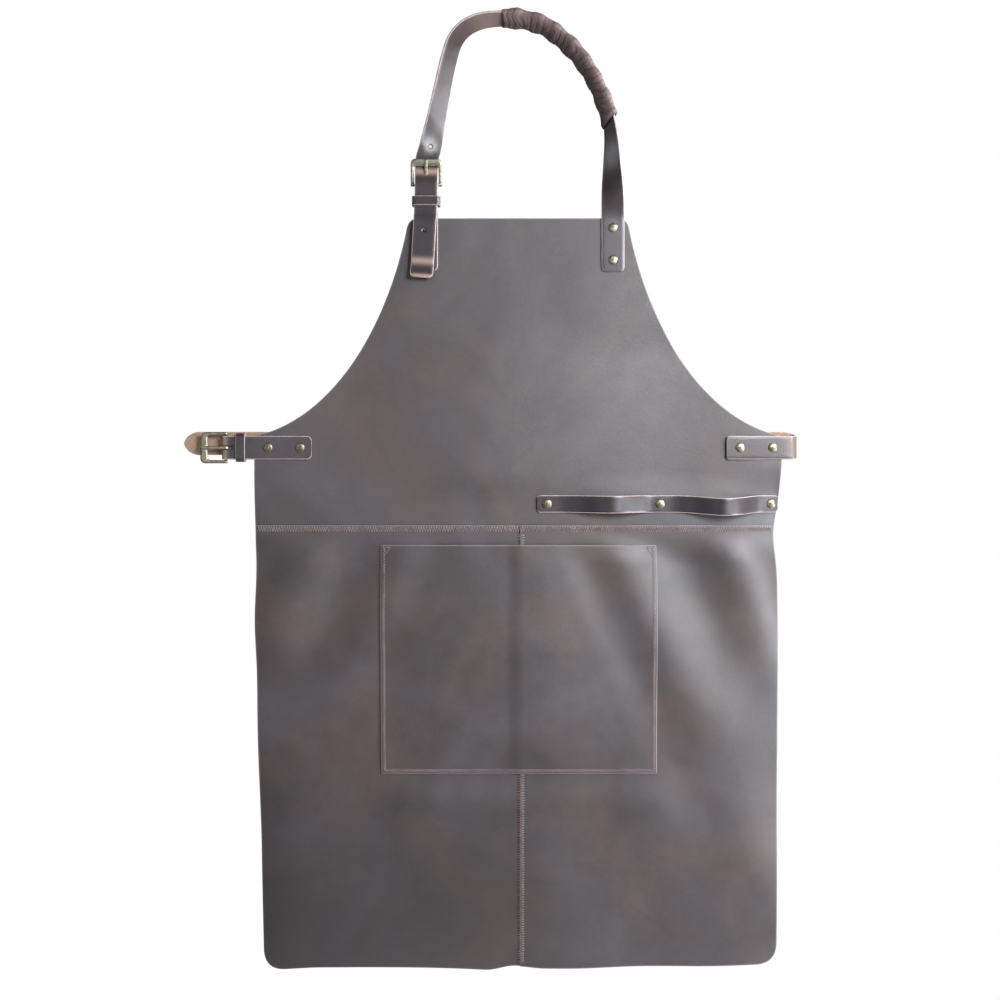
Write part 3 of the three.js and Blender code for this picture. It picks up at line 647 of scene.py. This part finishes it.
def build_stitches():
    width = STITCH["width"]
    z = SEAM_TOP - 0.6 - width / 2

    def seam_front(x, _):
        return np.where(x > CENTRE_EDGE, right_skirt_front(x), SKIRT_FRONT)

    ends = SIDE - 2.0
    sew("waist_stitches", [((-ends, z), (ends, z), width)], seam_front, "waist_seam_thread")

    middle = CENTRE_EDGE + 0.8
    seam = ((middle, SEAM_TOP - width - 3), (middle, HEM + 5), width + 1.6)
    sew("centre_stitches", [seam], seam_front, "centre_seam_thread")

    width = STITCH["pocket_width"]
    margin = 1.6 + width / 2
    left, right = POCKET_LOW[0] + margin, POCKET_HIGH[0] - 1.6 - width / 2
    low, high = POCKET_LOW[2] + margin, POCKET_HIGH[2] - 3.0
    corners = ((left, high), (left, low), (right, low), (right, high))
    lines = [(start, end, width) for start, end in zip(corners, corners[1:])]
    tack, tack_top, tack_width = 9.5, POCKET_HIGH[2] - 2.2, 1.2
    for x, inward in ((POCKET_LOW[0] + 1.5, 1), (POCKET_HIGH[0] - 1.5, -1)):
        inner = (x + inward * tack, tack_top)
        lines.append(((x, tack_top), inner, tack_width))
        lines.append((inner, (x + inward * 2, POCKET_HIGH[2] - 13), tack_width))
    sew("pocket_stitches", lines, pocket_front, "pocket_thread")


# ---------- straps ----------
GRAIN, INNER, RIM = 0, 1, 2


def section_template(faces_across=8, corner_steps=3):
    """Signs and corner directions round a strap's section, and which side each stretch is on."""
    rows, sides = [(-1.0, 0.0, 1.0, 1.0)], [GRAIN]
    for facing, face, next_face in ((1.0, GRAIN, INNER), (-1.0, INNER, GRAIN)):
        for sx in np.linspace(-facing, facing, faces_across + 1)[1:]:
            rows.append((sx, 0.0, facing, facing))
            sides.append(face)
        sides[-1] = RIM
        for sy, first in ((facing, 180 - 90 * facing), (-facing, 90 - 90 * facing)):
            for k in range(1, corner_steps + 1):
                angle = math.radians(first - 90 * k / corner_steps)
                rows.append((facing, math.cos(angle), sy, math.sin(angle)))
                sides.append(RIM)
        sides[-1] = next_face
    return np.array(rows[:-1]), sides[:-1]


def swept(middle, width_dir, normal, across, out):
    """Points of the sections along a middle line. across and out have a row for each section."""
    return middle[:, None] + across[..., None] * width_dir[:, None] + out[..., None] * normal[:, None]


def strap(name, middle, width_dir, normal, half_width, thickness, materials, wear=None, dirt=None,
          closed=False, rounding=0.85):
    """A strip of leather swept along its middle line, with rounded cut edges."""
    template, sides = section_template()
    sx, cx, sy, cy = template.T
    half_width = np.broadcast_to(half_width, len(middle)).astype(float)
    across = sx * (half_width[:, None] - rounding) + cx * rounding
    out = np.broadcast_to(sy * (thickness / 2 - rounding) + cy * rounding, across.shape)
    points = swept(middle, width_dir, normal, across, out)
    rings, count = across.shape
    faces = ring_faces(rings, count, closed=closed)
    slots = sides * rings if closed else sides * (rings - 1) + [RIM, RIM]
    near_edge = np.clip((np.abs(across) - (half_width[:, None] - 1.6)) / 1.6, 0, 1) ** 2 * 0.3
    worn_and_highlit = near_edge if wear is None else np.maximum(near_edge, np.asarray(wear)[:, None])
    dark = np.broadcast_to(0.0 if dirt is None else np.asarray(dirt)[:, None], across.shape)
    tints = {"wear": worn_and_highlit.ravel(), "dirt": dark.ravel()}
    return make_piece(name, points.reshape(-1, 3), faces, materials, slots, **tints)


STRAP_MATERIALS = [STRAP, FLESH, STRAP_EDGE]
END_STEPS = (0.0, 0.25, 0.8, 1.6, 2.6, 3.8, 5.0)


def end_spaced(total, count):
    """Places along a length: evenly spaced, with closer ones at both ends for rounding them."""
    close = np.array(END_STEPS[:-1])
    even = np.linspace(END_STEPS[-1], total - END_STEPS[-1], count)
    return np.concatenate([close, even, total - close[::-1]])


def resample(points, step, ends=True):
    """Points spaced along a line, the place of each along it and the line's length."""
    points = np.asarray(points, float)
    reach = distances(points)
    total = reach[-1]
    if ends:
        places = end_spaced(total, max(2, round((total - 2 * END_STEPS[-1]) / step)))
    else:
        places = np.linspace(0, total, max(2, round(total / step)))
    spaced = np.stack([np.interp(places, reach, points[:, k]) for k in range(points.shape[1])], 1)
    return spaced, places, total


def end_rounding(places, total, half, radius_first, radius_last):
    """Half widths that round the corners at the two ends."""
    widths = np.full(len(places), half)
    for distance, radius in ((places, radius_first), (total - places, radius_last)):
        if radius:
            short = np.clip(radius - distance, 0, radius)
            widths = np.minimum(widths, half - radius + np.sqrt(radius**2 - short**2))
    return widths


def upright_strap(name, middle, half_width, thickness, **tints):
    """A strap that stands with its width upright."""
    width_dir = np.broadcast_to([0.0, 0.0, 1.0], middle.shape)
    normal = unit(np.cross(directions(middle), width_dir))
    return strap(name, middle, width_dir, normal, half_width, thickness, STRAP_MATERIALS, **tints)


def build_tool_strap():
    low, high = span("tool_loop_strap")
    rivets = [span(f"tool_strap_rivet_{i}_cap") for i in (1, 2, 3)]
    centres = [(a[0] + b[0]) / 2 for a, b in rivets]
    flat, crest = TOOL_LOOPS["flat"], TOOL_LOOPS["crest"]
    x = np.linspace(low[0], high[0], 200)
    bow, drop = np.zeros_like(x), np.zeros_like(x)
    for start, end, height, fall in zip(centres, centres[1:], TOOL_LOOPS["bows"], TOOL_LOOPS["sags"]):
        share = np.clip((x - start - flat) / (end - start - 2 * flat), 0, 1) ** crest
        swing = 1 - np.cos(share * 2 * math.pi)
        bow += height * swing / 2
        drop += fall * swing / 2
    z = (low[2] + high[2]) / 2 - drop
    y = -BODY_T / 2 - GAP - TOOL_T / 2 - bow - lift(x, z)
    middle, places, total = resample(np.stack([x, y, z], 1), 2.0)
    half_width = end_rounding(places, total, (high[2] - low[2]) / 2, 3.5, 3.5)
    # painted shade: each loop is darkened on its left flank, where it rises to the front
    left_flank_shade = 0.8 * np.clip(-directions(middle)[:, 1] / 0.2, 0, 1)  # where a loop rises to the front
    piece = upright_strap("tool_strap", middle, half_width, TOOL_T, dirt=left_flank_shade)
    finish_piece(piece, "root", "strap_leather", "tool_loop_strap")


def build_waist_strap():
    """One strap: riveted to the bib, turned back at the side, and folded away behind."""
    front_low, front_high = span("waist_strap_front")
    back_low, back_high = span("waist_strap_back")
    front_y, back_y = front_low[1] + STRAP_T / 2, back_high[1] - STRAP_T / 2
    front_z, back_z = (front_low[2] + front_high[2]) / 2, (back_low[2] + back_high[2]) / 2
    radius = (back_y - front_y) / 2
    turn = FOLD[:2] + arc(radius, np.linspace(-math.pi / 2, math.pi / 2, 40))
    line = np.vstack([[(front_low[0], front_y)], turn, [(back_low[0], back_y)]])
    middle, places, total = resample(np.column_stack([line, np.zeros(len(line))]), 1.4)
    turn_start = FOLD[0] - front_low[0]
    middle[:, 2] = front_z + (back_z - front_z) * smooth(turn_start, turn_start + WAIST_RISE, places)
    sway = np.where(middle[:, 1] > FOLD[1], 0.5 + 0.5 * ripple(21, 160, middle[:, 0]), 0)
    middle[:, 1] += sway * smooth(290, 250, middle[:, 0])
    half = STRAP_W / 2
    tip = np.clip((total - places) / WAIST_TIP, 0, 1)
    pointed = np.maximum(half * (1 - (1 - tip) ** 2.2) ** 0.62, 1.0)
    half_width = np.minimum(end_rounding(places, total, half, 3, 0), pointed)
    bend = bell(middle[:, 0] - FOLD[0], 3, 9) * 0.34
    piece = upright_strap("waist_strap_leather", middle, half_width, STRAP_T, wear=bend)
    first = back_low[0] + WAIST_HOLES["from_tip"]
    holes = [first + i * WAIST_HOLES["pitch"] for i in range(WAIST_HOLES["count"])]
    punch(piece, [drill((x, back_y, back_z), (0, 1, 0)) for x in holes])
    finish_piece(piece, None, "strap_leather", "waist_strap_front", "waist_strap_back")
    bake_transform(piece)


# the neck strap's middle line, and how far its grain face has turned from the front to the inside
NECK_ROUTE = np.array([
    (109.2, -2.5, -290, 0), (109.2, -2.5, -262, 0), (109.2, -2.5, -232, 0), (109, -3, -203, 17),
    (108.6, -1, -170, 42), (107.6, 0, -135, 60), (103.7, 0, -109, 68), (94.5, 0, -82.7, 71),
    (82.5, 0, -60, 72), (66, 0, -37, 72), (48, 0, -19.5, 72), (25.3, 0, -5, 72), (0, 0.4, 1.2, 72),
    (-22, 0.4, 1.6, 70), (-44, 0, -1.5, 66), (-61, 0, -10, 61), (-72.6, 0, -24, 56), (-80, 0, -46, 52),
    (-85.2, 0, -69, 51), (-94.5, 0, -115, 42), (-101, -0.2, -147, 18), (-104.4, -0.7, -159.5, 2),
    (-105.2, -1.2, -168.5, 0), (-105.3, -2.9, -175, 0), (-105.3, -5.2, -182, 0), (-105.4, -6.3, -188, 0),
    (-105.4, -6.2, -194, 0), (-105.6, -5.6, -201, 0), (-105.9, -5.5, -212, 0), (-106.3, -5.7, -224, 0),
    (-106.9, -7.4, -233, 0), (-108.5, -7.5, -262, 0), (-109.9, -8, -285, 0), (-110.6, -9.4, -293, 0),
    (-110.9, -11.6, -298, 0),
], float)
SLEEVE = {"width": 31.0, "depth": 13.0, "first": 15 / 90, "last": 34 / 90, "rings": 330, "sides": 56}


def spline(points, t):
    """Centripetal Catmull-Rom through the points, with t from 0 to 1 over equal spans."""
    padded = np.vstack([2 * points[0] - points[1], points, 2 * points[-1] - points[-2]])
    place = np.clip(t, 0, 1) * (len(points) - 1)
    index = np.minimum(place.astype(int), len(points) - 2)
    weight = (place - index)[:, None]
    ends = [padded[index + k] for k in range(4)]
    p0, p1, p2, p3 = ends
    gaps = [np.sqrt(np.linalg.norm(b - a, axis=1, keepdims=True)) for a, b in zip(ends, ends[1:])]
    middle = np.where(gaps[1] < 1e-4, 1.0, gaps[1])
    before = np.where(gaps[0] < 1e-4, middle, gaps[0])
    after = np.where(gaps[2] < 1e-4, middle, gaps[2])
    m1 = ((p1 - p0) / before - (p2 - p0) / (before + middle) + (p2 - p1) / middle) * middle
    m2 = ((p2 - p1) / middle - (p3 - p1) / (middle + after) + (p3 - p2) / after) * middle
    w2, w3 = weight**2, weight**3
    start = (2 * w3 - 3 * w2 + 1) * p1 + (w3 - 2 * w2 + weight) * m1
    return start + (3 * w2 - 2 * w3) * p2 + (w3 - w2) * m2


def neck_stations(t):
    """Middle, width direction and grain normal of the neck strap at each t."""
    step = 1e-4
    middle = spline(NECK_ROUTE[:, :3], t)
    tangent = unit(spline(NECK_ROUTE[:, :3], t + step) - spline(NECK_ROUTE[:, :3], t - step))
    turn = np.radians(spline(NECK_ROUTE[:, 3:], t))
    forward = np.array([0.0, -1.0, 0.0])
    front = unit(forward - (tangent @ forward)[:, None] * tangent)
    inside = np.cross(front, tangent)
    normal = np.cos(turn) * front + np.sin(turn) * inside
    return middle, unit(np.cross(normal, tangent)), normal


def build_neck_strap():
    fine = np.linspace(0, 1, 3000)
    reach = distances(neck_stations(fine)[0])
    total = reach[-1]
    places = end_spaced(total, round(total / 1.8))
    middle, width_dir, normal = neck_stations(np.interp(places, reach, fine))
    half_width = end_rounding(places, total, NECK_W / 2, 5, 5)
    on_left = middle[:, 0] < -60
    bends = ((-176, 4.0, 0.85), (-279, 4.0, 0.7), (-297, 2.5, 0.8))
    wear = sum(on_left * depth * bell(middle[:, 2], z, width) for z, width, depth in bends)
    # painted highlight: the strap is made paler on the left of its crown
    wear = wear + 0.4 * bell(middle[:, 0], -30, 30) * (middle[:, 2] > -40)
    piece = strap("neck_strap_leather", middle, width_dir, normal, half_width, STRAP_T, STRAP_MATERIALS,
                  wear=wear)
    nearest = [np.argmin(np.abs(middle[:, 2] - z) + 1e3 * ~on_left) for z in NECK_HOLES]
    punch(piece, [drill(middle[i], normal[i]) for i in nearest])
    finish_piece(piece, "root", "strap_leather", "neck_strap")


def gathers(reach, cx, cy):
    """How deep each point lies in a crease, and how far the leather swells out there."""
    s = np.broadcast_to(reach[:, None], (len(reach), len(cx)))
    cx, cy = np.broadcast_to(cx, s.shape), np.broadcast_to(cy, s.shape)
    wander = s + 3.5 * ripple(31, 2.2, cx, cy, s / 55) + 2.0 * ripple(32, 26, s)
    folds = 1 - np.abs(np.sin(wander * math.pi / 9.0))
    small = 1 - np.abs(np.sin((wander + 2.5 * ripple(33, 1.4, cx, cy, s / 30)) * math.pi / 4.7 + 1.0))
    trough = 0.62 * folds**1.6 + 0.38 * small**2
    bump = ripple(34, 17, 9 * cx, 9 * cy, s)
    at_edge = smooth(0.35, 0.95, np.abs(cx))
    scallop = np.sin(reach * 2 * math.pi / 24.0 + 0.6)[:, None] * at_edge
    swell = 0.75 * scallop + 0.55 * bump - 1.25 * trough * (0.4 + 0.6 * (1 - at_edge)) + 0.3
    return trough, swell


def build_sleeve():
    """Soft leather gathered on the neck strap like a scrunched tube."""
    rings, sides = SLEEVE["rings"], SLEEVE["sides"]
    share = np.linspace(0, 1, rings)
    stations = neck_stations(SLEEVE["first"] + (SLEEVE["last"] - SLEEVE["first"]) * share)
    middle = stations[0]
    angle = round_angles(sides)
    cos, sin = np.cos(angle), np.sin(angle)
    trough, swell = gathers(distances(middle), cos, sin)
    closing = np.minimum(1, np.minimum(share, 1 - share)[:, None] * 60) ** 0.5
    across = (SLEEVE["width"] / 2 + swell) * cos * (0.93 + 0.07 * closing)
    out = (SLEEVE["depth"] / 2 + swell) * signed_power(sin, 0.85) * (0.55 + 0.45 * closing)
    skew = (-4.5 * (1 - share[:, None]) ** 7 * cos)[..., None] * directions(middle)[:, None]
    outer = swept(*stations, across, out) + skew
    to_box = np.maximum(np.abs(cos), np.abs(sin))
    slot_w = ((NECK_W / 2 + GAP) * cos / to_box)[None]
    slot_d = ((STRAP_T / 2 + GAP + 0.2) * sin / to_box)[None]
    inner = swept(*stations, slot_w, slot_d) + skew
    points = np.vstack([outer.reshape(-1, 3), inner[::-1].reshape(-1, 3)])
    # painted highlight: the sleeve is paler on the crests of its gathers and along its outer side
    crest = np.clip(1 - trough * 2.2, 0, 1) * 0.1 + 0.22 * smooth(0.2, -0.9, cos)
    # painted shade: the sleeve is darkened in the troughs of its creases
    dirt = np.clip(trough - 0.35, 0, 1) * 0.8
    lining = np.zeros(rings * sides)
    tints = {"wear": np.append(crest.ravel(), lining), "dirt": np.append(dirt.ravel(), lining)}
    faces = ring_faces(2 * rings, sides, closed=True)
    piece = make_piece("neck_pad_leather", points, faces, [SLEEVE_LEATHER], **tints)
    finish_piece(piece, "root", "sleeve_leather", "neck_pad_sleeve")


# ---------- buckles: local X across the strap, Y towards the outer bar, Z to the front ----------
def buckle_place(origin, across, along, tilt=0.0):
    across, along = Vector(across), Vector(along)
    turn = Matrix.Rotation(tilt, 3, across)
    axes = Matrix((across, turn @ along, turn @ across.cross(along))).transposed()
    return np.array(axes), np.asarray(origin)


def put(place, local):
    axes, origin = place
    return np.asarray(local) @ axes.T + origin


def strap_in(place, name, line, half_width, thickness, materials, **options):
    """A strap along a line given in a buckle's own axes, its width along local X."""
    width = np.array([1.0, 0.0, 0.0])
    normal = unit(np.cross(width, directions(line)))
    axes, _ = place
    width_dir = np.broadcast_to(axes @ width, line.shape)
    return strap(name, put(place, line), width_dir, normal @ axes.T, half_width, thickness, materials,
                 **options)


def build_tab(side, place):
    """A strip folded round the heel bar, its two layers either side of the bib."""
    offset = BODY_T / 2 + GAP + STRAP_T / 2
    nose = BUCKLE["heel"] + GAP + STRAP_T / 2
    turn = arc(nose, np.linspace(math.pi / 2, -math.pi / 2, 30))
    front = [(-TAB["reach"], offset), (-12, offset), (-3, nose)]
    path = np.vstack([front, turn, [(y, -z) for y, z in reversed(front)]])
    middle, places, total = resample(np.column_stack([np.zeros(len(path)), path]), 1.4)
    half_width = end_rounding(places, total, STRAP_W / 2, 5, 5)
    bend = bell(middle[:, 1], 2, 4) * 0.7
    name = f"{side}_tab_leather"
    piece = strap_in(place, name, middle, half_width, STRAP_T, STRAP_MATERIALS, wear=bend)
    slot = TAB["slot"] / 2
    front_slot = block(place, (-slot, -TAB["front_slot"], 0), (slot, 12, 12))
    back_slot = block(place, (-slot, -TAB["back_slot"], -12), (slot, 12, 1))
    punch(piece, [front_slot, back_slot])
    finish_piece(piece, "root", "strap_leather", f"{side}_buckle_tab")


def block(place, low, high):
    corners = [(x, y, z) for x in (low[0], high[0]) for y in (low[1], high[1]) for z in (low[2], high[2])]
    faces = [[0, 1, 3, 2], [4, 6, 7, 5], [0, 4, 5, 1], [2, 3, 7, 6], [0, 2, 6, 4], [1, 5, 7, 3]]
    return make_piece("block", put(place, corners), faces, [STRAP_EDGE])


def build_frame(side, place):
    """A cast frame: two arms and a broad outer bar with a domed face, closed by the heel bar."""
    half, arm, reach = BUCKLE["across"] / 2, BUCKLE["arm"], BUCKLE["reach"]
    heel, foot = BUCKLE["heel"], -BUCKLE["heel"] - 0.4
    outer = u_line(half, reach, 6.0, foot)
    inner = u_line(half - arm, reach - BUCKLE["bar"], 3.2, foot)
    sections, squareness = 20, 0.55
    angles = round_angles(sections)
    across = signed_power(np.cos(angles), squareness)
    height = signed_power(np.sin(angles), squareness)
    flat = ((outer + inner) / 2)[:, None] + ((outer - inner) / 2)[:, None] * across[None, :, None]
    crown = BUCKLE["thickness"] / 2 * height * (1 - 0.22 * across**2)
    points = np.concatenate([flat, np.broadcast_to(crown[None, :, None], (*flat.shape[:2], 1))], 2)
    ring = np.column_stack([np.zeros(sections), arc(heel, angles)])
    bar_end = half - arm / 2
    local = np.vstack([points.reshape(-1, 3), *(ring + [x, 0, 0] for x in (-bar_end, bar_end))])
    faces = ring_faces(len(points), sections) + ring_faces(2, sections, len(points) * sections)
    # darker on the back face and round the heel bar
    dirt = 0.55 * smooth(0.9, -0.8, local[:, 2]) + 0.3 * smooth(4, 0, np.abs(local[:, 1]))
    piece = make_piece(f"{side}_frame_brass", put(place, local), faces, [BRASS], dirt=dirt)
    finish_piece(piece, f"{side}_frame", "antique_brass", f"{side}_buckle_frame")


def u_line(half, reach, radius, foot):
    """Points up one arm, across and down the other, as many for each size."""
    angles = np.linspace(0, math.pi / 2, 9)
    right = [(half - radius + radius * math.cos(a), reach - radius + radius * math.sin(a)) for a in angles]
    left = [(-x, y) for x, y in reversed(right)]
    up = [(half, foot + (reach - radius - foot) * k / 8) for k in range(8)]
    down = [(-x, y) for x, y in reversed(up)]
    between = [((half - radius) * (1 - 2 * k / 10), reach) for k in range(1, 10)]
    return np.array(up + right + between + left + down)


def build_prong(side, place):
    """A flat bar curled round the heel bar, lying across the frame."""
    thick, reach = PRONG["thickness"], PRONG["reach"]
    radius = BUCKLE["heel"] + GAP + thick / 2
    eye = arc(radius, np.radians(np.linspace(400, 90, 40)))
    shank = np.stack([np.linspace(1, reach - 1.2, 16), np.full(16, radius)], 1)
    line = np.column_stack([np.zeros(len(eye) + len(shank)), np.vstack([eye, shank])])
    half = PRONG["width"] / 2
    left = reach - line[:, 1]
    taper = np.clip(0.35 + 0.65 * np.sqrt(np.clip(left / 6, 0, 1)), 0.3, 1)
    half_width = np.where(left < 6, half * taper, half)
    piece = strap_in(place, f"{side}_prong_brass", line, half_width, thick, [BRASS] * 3, rounding=0.8)
    finish_piece(piece, f"{side}_prong", "antique_brass", f"{side}_buckle_prong")


def build_keeper(side, axis):
    """A leather loop round the tab and the strap. axis is the way the strap runs through it."""
    low, high = span(f"{side}_keeper")
    centre = (low + high) / 2
    across_axis = 2 if axis == 0 else 0
    wall, radius = KEEPER["wall"], KEEPER["radius"]
    inner_a = (high[across_axis] - low[across_axis] - wall) / 2 - radius
    inner_y = (high[1] - low[1] - wall) / 2 - radius
    corners = []
    for sa, sy, first in ((1, 1, 0), (-1, 1, 90), (-1, -1, 180), (1, -1, 270)):
        quarter = arc(radius, np.radians(np.linspace(first, first + 90, 7)))
        corners.append(quarter + [sa * inner_a, sy * inner_y])
    loop = resample(np.vstack([*corners, corners[0][:1]]), 1.5, ends=False)[0][:-1]
    middle = np.tile(centre, (len(loop), 1))
    middle[:, across_axis] += loop[:, 0]
    middle[:, 1] += loop[:, 1]
    tangent = unit(np.roll(middle, -1, 0) - np.roll(middle, 1, 0))
    width_dir = np.broadcast_to(np.eye(3)[axis], middle.shape)
    normal = unit(np.cross(tangent, width_dir))
    outwards = np.sum(normal * (middle - centre), 1).mean()
    normal = normal if outwards > 0 else -normal
    piece = strap(f"{side}_keeper_leather", middle, width_dir, normal, KEEPER["length"] / 2, wall,
                  STRAP_MATERIALS, closed=True, rounding=0.6)
    finish_piece(piece, f"{side}_keeper", "strap_leather", f"{side}_keeper")


def build_buckles():
    neck = buckle_place(NECK_HEEL, (1, 0, 0), (0, 0, 1))
    neck_tilted = buckle_place(NECK_HEEL, (1, 0, 0), (0, 0, 1), NECK_TILT)
    waist = buckle_place(WAIST_HEEL, (0, 0, 1), (-1, 0, 0))
    for side, flat, tilted, strap_axis in (("neck", neck, neck_tilted, 2), ("waist", waist, waist, 0)):
        build_tab(side, flat)
        build_frame(side, tilted)
        build_prong(side, tilted)
        build_keeper(side, strap_axis)


# ---------- rivets ----------
def lathe(profile, centre, sides=28):
    """A turned shape about Y. profile is (radius, distance towards the front)."""
    points = [(r * math.cos(a), -h, r * math.sin(a)) for r, h in profile for a in round_angles(sides)]
    return np.array(points) + centre, ring_faces(len(profile), sides)


def build_rivet(name):
    low, high = span(f"{name}_cap")
    post_high = span(f"{name}_post")[1]
    x, z = (low[0] + high[0]) / 2, (low[2] + high[2]) / 2
    head, flange, rise = RIVET["head"], RIVET["flange"], RIVET["rise"]
    dome = [(head * math.cos(t), 0.45 + (rise - 0.45) * math.sin(t) ** 1.2) for t in np.linspace(0, 1.5, 9)]
    rim = [(head - 0.5, 0.0), (head - 0.1, 0.1), (head, 0.28)]
    dimple = [(0.9, rise - 0.02), (0.7, rise - 0.12), (0.25, rise - 0.2)]
    base, back = low[1] + rise, post_high[1] - 1.3
    foot = [(1.6, back - base), (1.6, 0.0), (flange - 0.2, 0.0), (flange, -0.3), (flange - 0.4, -0.7),
            (3.2, -1.15), (1.5, -1.3), (0.3, -1.3)]
    front, faces = lathe([*rim, *dome, *dimple], (x, base, z))
    behind, more = lathe(foot, (x, back, z))
    faces += [[i + len(front) for i in face] for face in more]
    # under the tool strap the leather stands out, and its rivets with it
    shift = -float(lift(x, z)) if name.startswith("tool_strap") else 0.0
    points = np.vstack([front, behind]) + [0, shift, 0]
    radius = np.hypot(points[:, 0] - x, points[:, 2] - z)
    dirt = 0.3 + np.where(points[:, 1] > base + shift - 0.5, 0.5, 0.0) + 0.35 * smooth(1.4, 0.6, radius)
    piece = make_piece(name, points, faces, [BRASS], dirt=np.clip(dirt, 0, 1))
    finish_piece(piece, "root", "antique_brass", f"{name}_cap", f"{name}_post")


def build_rivets():
    sets = {"tool_strap": 3, "neck_strap": 2, "waist_strap": 2, "neck_tab": 2, "waist_tab": 2}
    for place, count in sets.items():
        for i in range(count):
            build_rivet(f"{place}_rivet_{i + 1}")


# ---------- studio ----------
AMBIENT = 0.12  # light from the room, beside the white paper that the camera sees
FLOOR = {"radius": 1.0, "height": -1.55}
LAMPS = {  # place, target, size, power and colour
    "window": ((0.85, -1.45, 0.0), (0.1, 0, -0.5), 0.75, 34, (0.90, 0.94, 1.0)),
    "side": ((1.25, -0.8, -0.95), (0.05, 0, -0.62), 0.5, 16, (0.84, 0.92, 1.0)),
    "fill": ((-0.7, -1.5, -0.35), (-0.1, 0, -0.6), 1.0, 2.4, (0.94, 0.95, 1.0)),
    "rim": ((1.1, -0.05, 0.2), (-0.1, 0, -0.12), 0.5, 19, (0.91, 0.93, 1.0)),
    "left_rim": ((-1.1, 0.05, 0.12), (0.1, 0, -0.15), 0.5, 2.5, (0.88, 0.92, 1.0)),
    "back": ((0.5, 1.5, -0.2), (0, 0, -0.55), 1.0, 10, (1, 1, 1)),
}


def area_light(name, place, target, size, power, color):
    data = bpy.data.lights.new(name, "AREA")
    data.shape = "DISK"
    data.size = size
    data.energy = power
    data.color = color
    lamp = bpy.data.objects.new(name, data)
    lamp.location = place
    lamp.rotation_mode = "QUATERNION"
    lamp.rotation_quaternion = (Vector(target) - Vector(place)).to_track_quat("-Z", "Y")
    bpy.context.scene.collection.objects.link(lamp)


def build_studio():
    world = bpy.data.worlds.new("studio")
    world.use_nodes = True
    tree = world.node_tree
    room = tree.nodes["Background"]
    room.inputs["Color"].default_value = (0.94, 0.96, 1, 1)
    room.inputs["Strength"].default_value = AMBIENT
    paper = tree.nodes.new("ShaderNodeBackground")
    paper.inputs["Color"].default_value = (1, 1, 1, 1)
    seen = tree.nodes.new("ShaderNodeLightPath")
    mix = tree.nodes.new("ShaderNodeMixShader")
    tree.links.new(seen.outputs["Is Camera Ray"], mix.inputs["Fac"])
    tree.links.new(room.outputs[0], mix.inputs[1])
    tree.links.new(paper.outputs[0], mix.inputs[2])
    tree.links.new(mix.outputs[0], tree.nodes["World Output"].inputs["Surface"])
    bpy.context.scene.world = world
    for name, settings in LAMPS.items():
        area_light(name, *settings)
    bpy.ops.mesh.primitive_circle_add(vertices=96, radius=FLOOR["radius"], fill_type="NGON",
                                      location=(0, 0, FLOOR["height"]))
    floor = bpy.context.object
    floor.name = "floor"
    floor.data.materials.append(two_tone("floor_paint", 0.78, 0.82, 0.7, (40, 3)))


def build_camera():
    data = bpy.data.cameras.new("camera")
    data.lens = 50
    data.sensor_width = 36
    camera = bpy.data.objects.new("camera", data)
    camera.location = (-0.0207, -1.6, -0.553)
    camera.rotation_euler = (math.radians(90), 0, 0)
    bpy.context.scene.collection.objects.link(camera)
    bpy.context.scene.camera = camera


build_tool_strap()
build_waist_strap()
build_neck_strap()
build_sleeve()
build_buckles()
build_panels()
build_stitches()
build_rivets()
build_studio()
build_camera()
bpy.context.scene.view_settings.view_transform = "Standard"
